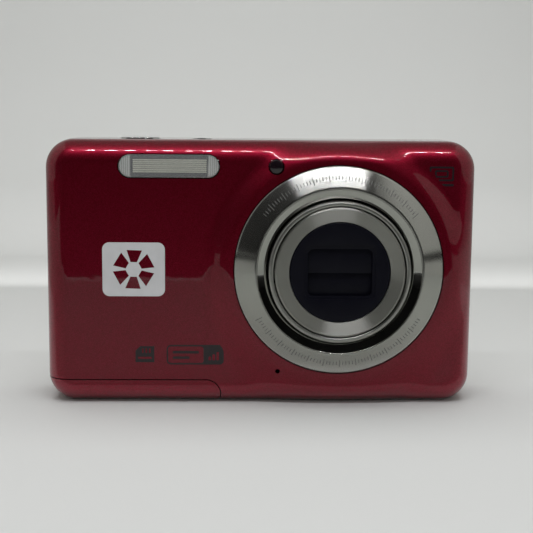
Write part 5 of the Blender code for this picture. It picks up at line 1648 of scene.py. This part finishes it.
@dataclass
class Inside:
    """Better finishes for the model's own pieces that stay in sight when the camera opens or zooms."""

    black: MouldedPlastic = field(default_factory=lambda: MouldedPlastic(colour=(0.012, 0.012, 0.013)))
    steel: PlainMetal = field(default_factory=lambda: PlainMetal(colour=(0.45, 0.45, 0.46), roughness=0.3))
    board: CircuitBoard = field(default_factory=CircuitBoard)

    def dress(self) -> None:
        """Give each carried-over piece its finish."""
        finishes = {
            self.black.make("inner_black"): ("zoom_ring", "zoom_pinion", "lens_housing", "focus_carriage",
                                             "battery_holder", "shutter_switch", "power_switch", "speaker"),
            self.steel.make("pressed_steel"): (
                "zoom_motor", "door_hinge_plate", "door_hinge_pin", "door_spring", "chassis_plate",
                "card_slot", "nav_pivot_plate"),
            self.board.make("circuit_board"): ("sensor_board", "main_board", "button_board", "top_board"),
            PlainMetal(colour=(0.86, 0.86, 0.87), roughness=0.06).make("mirror_foil"): ("flash_reflector",),
            PlainMetal(colour=(0.62, 0.46, 0.2), roughness=0.3).make("contact_brass"): ("battery_contacts",),
            MouldedPlastic(colour=(0.02, 0.02, 0.024), roughness=0.25, coat=0.6).make("dark_sleeve"): (
                "battery", "flash_capacitor"),
            MouldedPlastic(colour=(0.02, 0.05, 0.16), roughness=0.4).make("card_blue"): ("memory_card",),
            MouldedPlastic(colour=(0.55, 0.19, 0.03), roughness=0.35).make("latch_amber"): ("battery_latch",),
            MouldedPlastic(colour=(0.15, 0.15, 0.16), roughness=0.5).make("module_grey"): ("lcd_panel",),
            MouldedPlastic(colour=(0.02, 0.04, 0.05), roughness=0.1, coat=1.0).make("sensor_face"): (
                "image_sensor",),
            ClearPlastic(tint=(0.9, 0.92, 0.93), roughness=0.03).make("tube_glass"): ("flash_tube",),
        }
        for material, names in finishes.items():
            for name in names:
                node = bpy.data.objects[name]
                node.data.materials.clear()
                node.data.materials.append(material)
                LOG.info("%s dressed in %s", name, material.name)


# ---------------------------------------------------------------- stage


@dataclass
class Studio:
    """Pale table and wall inside a light tent, a row of lamps along its top, and the camera."""

    eye: tuple[float, float, float] = (-5.3, -244.45, 64.0)
    pitch: float = 8.15
    yaw: float = 1.565
    roll: float = 0.48
    lens_length: float = 76.6
    tent_half: float = 185.0
    tent_front: float = -175.0
    tent_back: float = 255.0
    tent_top: float = 360.0
    # Heights of the gap in the tent walls through which the painted dark reflection shows.
    band: tuple[float, float] = (24.0, 38.0)

    def build(self) -> None:
        """Make the stage."""
        bpy.context.scene.view_settings.view_transform = "Standard"
        self.camera()
        self.sweep()
        self.tent()
        self.lamps()

    def camera(self) -> None:
        """Set up the camera at its viewing angle."""
        pitch, yaw, roll = (math.radians(a) for a in (self.pitch, self.yaw, self.roll))
        ahead = Vector((math.sin(yaw) * math.cos(pitch), math.cos(yaw) * math.cos(pitch), -math.sin(pitch)))
        right = Vector((math.cos(yaw), -math.sin(yaw), 0.0))
        up = right.cross(ahead)
        side = math.cos(roll) * right + math.sin(roll) * up
        over = math.cos(roll) * up - math.sin(roll) * right
        data = bpy.data.cameras.new("camera")
        data.sensor_width = 36.0
        data.lens = self.lens_length
        data.clip_start = 0.01
        data.clip_end = 20.0
        camera = bpy.data.objects.new("camera", data)
        turn = Matrix((side, over, -ahead)).transposed().to_4x4()
        camera.matrix_world = Matrix.Translation(Vector(self.eye) * MM) @ turn
        bpy.context.scene.collection.objects.link(camera)
        bpy.context.scene.camera = camera

    def paper(self, name: str, colour: tuple[float, float, float], glow: float = 0.0) -> bpy.types.Material:
        """Pale paper with slow changes of tone.

        Args:
            name: the material's name.
            colour: its colour.
            glow: light that it gives off, as the tent's walls do.

        Returns:
            The material.
        """
        shader = Shader(name)
        tone = shader.noise(4.0, 2.0)
        shader.drive("Base Color", shader.blend(tone, tuple(0.97 * c for c in colour), colour))
        shader.put(Roughness=0.75, Emission_Color=(0.97, 1.0, 0.96, 1.0), Emission_Strength=glow)
        return shader.material

    def sheet(self, name: str, points: Sequence[Sequence[float]], material: bpy.types.Material,
              seen: bool = False) -> bpy.types.Object:
        """Flat four-cornered sheet of the stage.

        Args:
            name: its name.
            points: its corners.
            material: its finish.
            seen: whether the camera sees it, or only what it lights.

        Returns:
            The sheet.
        """
        sheet = mesh_piece(name, points, [(0, 1, 2, 3)])
        sheet.data.materials.append(material)
        sheet.visible_camera = seen
        sheet.visible_shadow = False
        return sheet

    def sweep(self) -> None:
        """Table that curves up into the back wall."""
        radius, half, top = 30.0, 1500.0, 1200.0
        start = self.tent_back - radius
        profile = [(-1500.0, 0.0), (start, 0.0)]
        for i in range(1, 13):
            turn = math.pi / 2 * i / 12
            profile.append((start + radius * math.sin(turn), radius * (1 - math.cos(turn))))
        profile.append((self.tent_back, top))
        points = [(x, y, z) for y, z in profile for x in (-half, half)]
        faces = [(2 * i, 2 * i + 1, 2 * i + 3, 2 * i + 2) for i in range(len(profile) - 1)]
        sweep = mesh_piece("studio_sweep", points, faces)
        sweep.data.shade_smooth()
        sweep.data.materials.append(self.paper("sweep_paper", (0.60, 0.605, 0.595)))

    def tent(self) -> None:
        """Side walls and top of the tent with a dark strip behind a gap in each wall, seen only in
        reflections as a painted dark reflection, a darker copy of the table seen only in reflections as
        painted shade, and the dark room that its open front shows.
        """
        half, front, back, top = self.tent_half, self.tent_front, self.tent_back, self.tent_top
        wall = self.paper("tent_cloth", (0.36, 0.36, 0.34), 0.05)
        dark = self.paper("dark_room", (0.006, 0.005, 0.005))
        # Each wall leaves a gap between the band's two heights. A near-black strip just outside it shows
        # through the gap only in reflections: a painted dark reflection on the sides of the lens ring.
        for side, x in (("left", -half), ("right", half)):
            for part, (low, high) in (("lower", (0.0, self.band[0])), ("upper", (self.band[1], top))):
                points = [(x, front, low), (x, back, low), (x, back, high), (x, front, high)]
                self.sheet(f"tent_{side}_{part}", points, wall)
            behind, end, rise = x * 1.02, -60.0, 70.0
            points = [(behind, front, 0.0), (behind, end, 0.0), (behind, end, rise), (behind, front, rise)]
            self.sheet(f"seam_{side}", points, dark).visible_diffuse = False
        roof = [(-half, front, top), (half, front, top), (half, back, top), (-half, back, top)]
        self.sheet("tent_top", roof, wall)
        self.cards(dark)
        # Darker copy of the table paper over the table's front part, seen only in reflections: painted shade
        # on the table.
        table_shade = self.paper("dim_table", (0.30, 0.31, 0.29))
        near = [(-half, front, 0.3), (half, front, 0.3), (half, -12.0, 0.3), (-half, -12.0, 0.3)]
        self.sheet("table_front", near, table_shade).visible_diffuse = False
        room = [
            [(-900.0, front - 5, 0.6), (900.0, front - 5, 0.6), (900.0, -900.0, 0.6), (-900.0, -900.0, 0.6)],
            [(-900.0, -900.0, 0.0), (900.0, -900.0, 0.0), (900.0, -900.0, 900.0), (-900.0, -900.0, 900.0)],
        ]
        for index, points in enumerate(room):
            sheet = self.sheet(f"dark_room_{index}", points, dark)
            sheet.visible_diffuse = False

    def cards(self, dark: bpy.types.Material) -> None:
        """Two dark cards that only glossy faces mirror: one upright at the left, one ahead at the right."""
        left, front = -100.0, self.tent_front - 5.0
        upright = [(left, -35.0, 37.0), (left, front, 37.0), (left, front, 345.0), (left, -35.0, 345.0)]
        ahead = [(72.0, -120.0, 105.0), (128.0, -120.0, 105.0), (128.0, -120.0, 215.0), (72.0, -120.0, 215.0)]
        for name, points in (("card_left", upright), ("card_right", ahead)):
            self.sheet(name, points, dark).visible_diffuse = False

    def lamps(self) -> None:
        """Row of small lamps along the tent's front edge, soft panels above and ahead, and the surround."""
        world = bpy.data.worlds.new("surround")
        world.use_nodes = True
        world.node_tree.nodes["Background"].inputs["Color"].default_value = (0.84, 0.86, 0.84, 1.0)
        world.node_tree.nodes["Background"].inputs["Strength"].default_value = 0.36
        world.cycles_visibility.glossy = False
        bpy.context.scene.world = world
        bright = Shader("lamp_glow")
        bright.put(Emission_Color=(0.97, 0.97, 1.0, 1.0), Emission_Strength=250.0)
        points, faces = [], []
        height, depth, reach, pitch, half = self.tent_top - 5.0, self.tent_front - 8.0, 150.0, 10.0, 2.4
        for i in range(int(2 * reach / pitch) + 1):
            x = -reach + pitch * i
            first = len(points)
            points += [(x - half, depth - half, height), (x - half, depth + half, height),
                       (x + half, depth + half, height), (x + half, depth - half, height)]
            faces.append((first, first + 1, first + 2, first + 3))
        row = mesh_piece("lamp_row", points, faces)
        row.data.materials.append(bright.material)
        row.visible_camera = False
        self.panel("overhead", (0.0, 40.0, 345.0), (0.0, 20.0, 0.0), (330.0, 260.0), 0.74, seen=False)
        self.panel("wall_wash", (0.0, 150.0, 30.0), (0.0, 255.0, 20.0), (420.0, 30.0), 0.07, seen=False)
        self.panel("front_fill", (0.0, -600.0, 300.0), (0.0, 0.0, 30.0), (500.0, 300.0), 0.35, seen=False)

    def panel(self, name: str, place: Sequence[float], aim: Sequence[float], size: tuple[float, float],
              power: float, seen: bool) -> None:
        """Add one soft rectangular light.

        Args:
            name: the light's name.
            place: its middle, in millimetres.
            aim: the point that it shines at.
            size: its width and height.
            power: its output, in watts.
            seen: whether glossy faces mirror it.
        """
        data = bpy.data.lights.new(name, "AREA")
        data.shape = "RECTANGLE"
        data.size, data.size_y = size[0] * MM, size[1] * MM
        data.energy = power
        light = bpy.data.objects.new(name, data)
        ahead = (Vector(aim) - Vector(place)).normalized()
        light.rotation_mode = "QUATERNION"
        light.rotation_quaternion = ahead.to_track_quat("-Z", "Y")
        light.location = Vector(place) * MM
        light.visible_glossy = seen
        light.visible_camera = False
        bpy.context.scene.collection.objects.link(light)


def corners(span: tuple[Vector, Vector]) -> list[list[float]]:
    """A box's two corners as plain lists of numbers."""
    return [[float(c) for c in corner] for corner in span]


def main() -> None:
    """Dress the whole camera and set the stage."""
    logging.basicConfig(level=logging.INFO, format="%(message)s")
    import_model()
    layout = Layout.from_model()
    Casing(layout).build()
    LensTrim(layout).build()
    Barrels(layout).build()
    FlashUnit(layout).build()
    Markings(layout).build()
    TopControls(layout).build()
    RearControls(layout).build()
    Fittings(layout).build()
    Inside().dress()
    Studio().build()


if __name__ == "__main__":
    main()
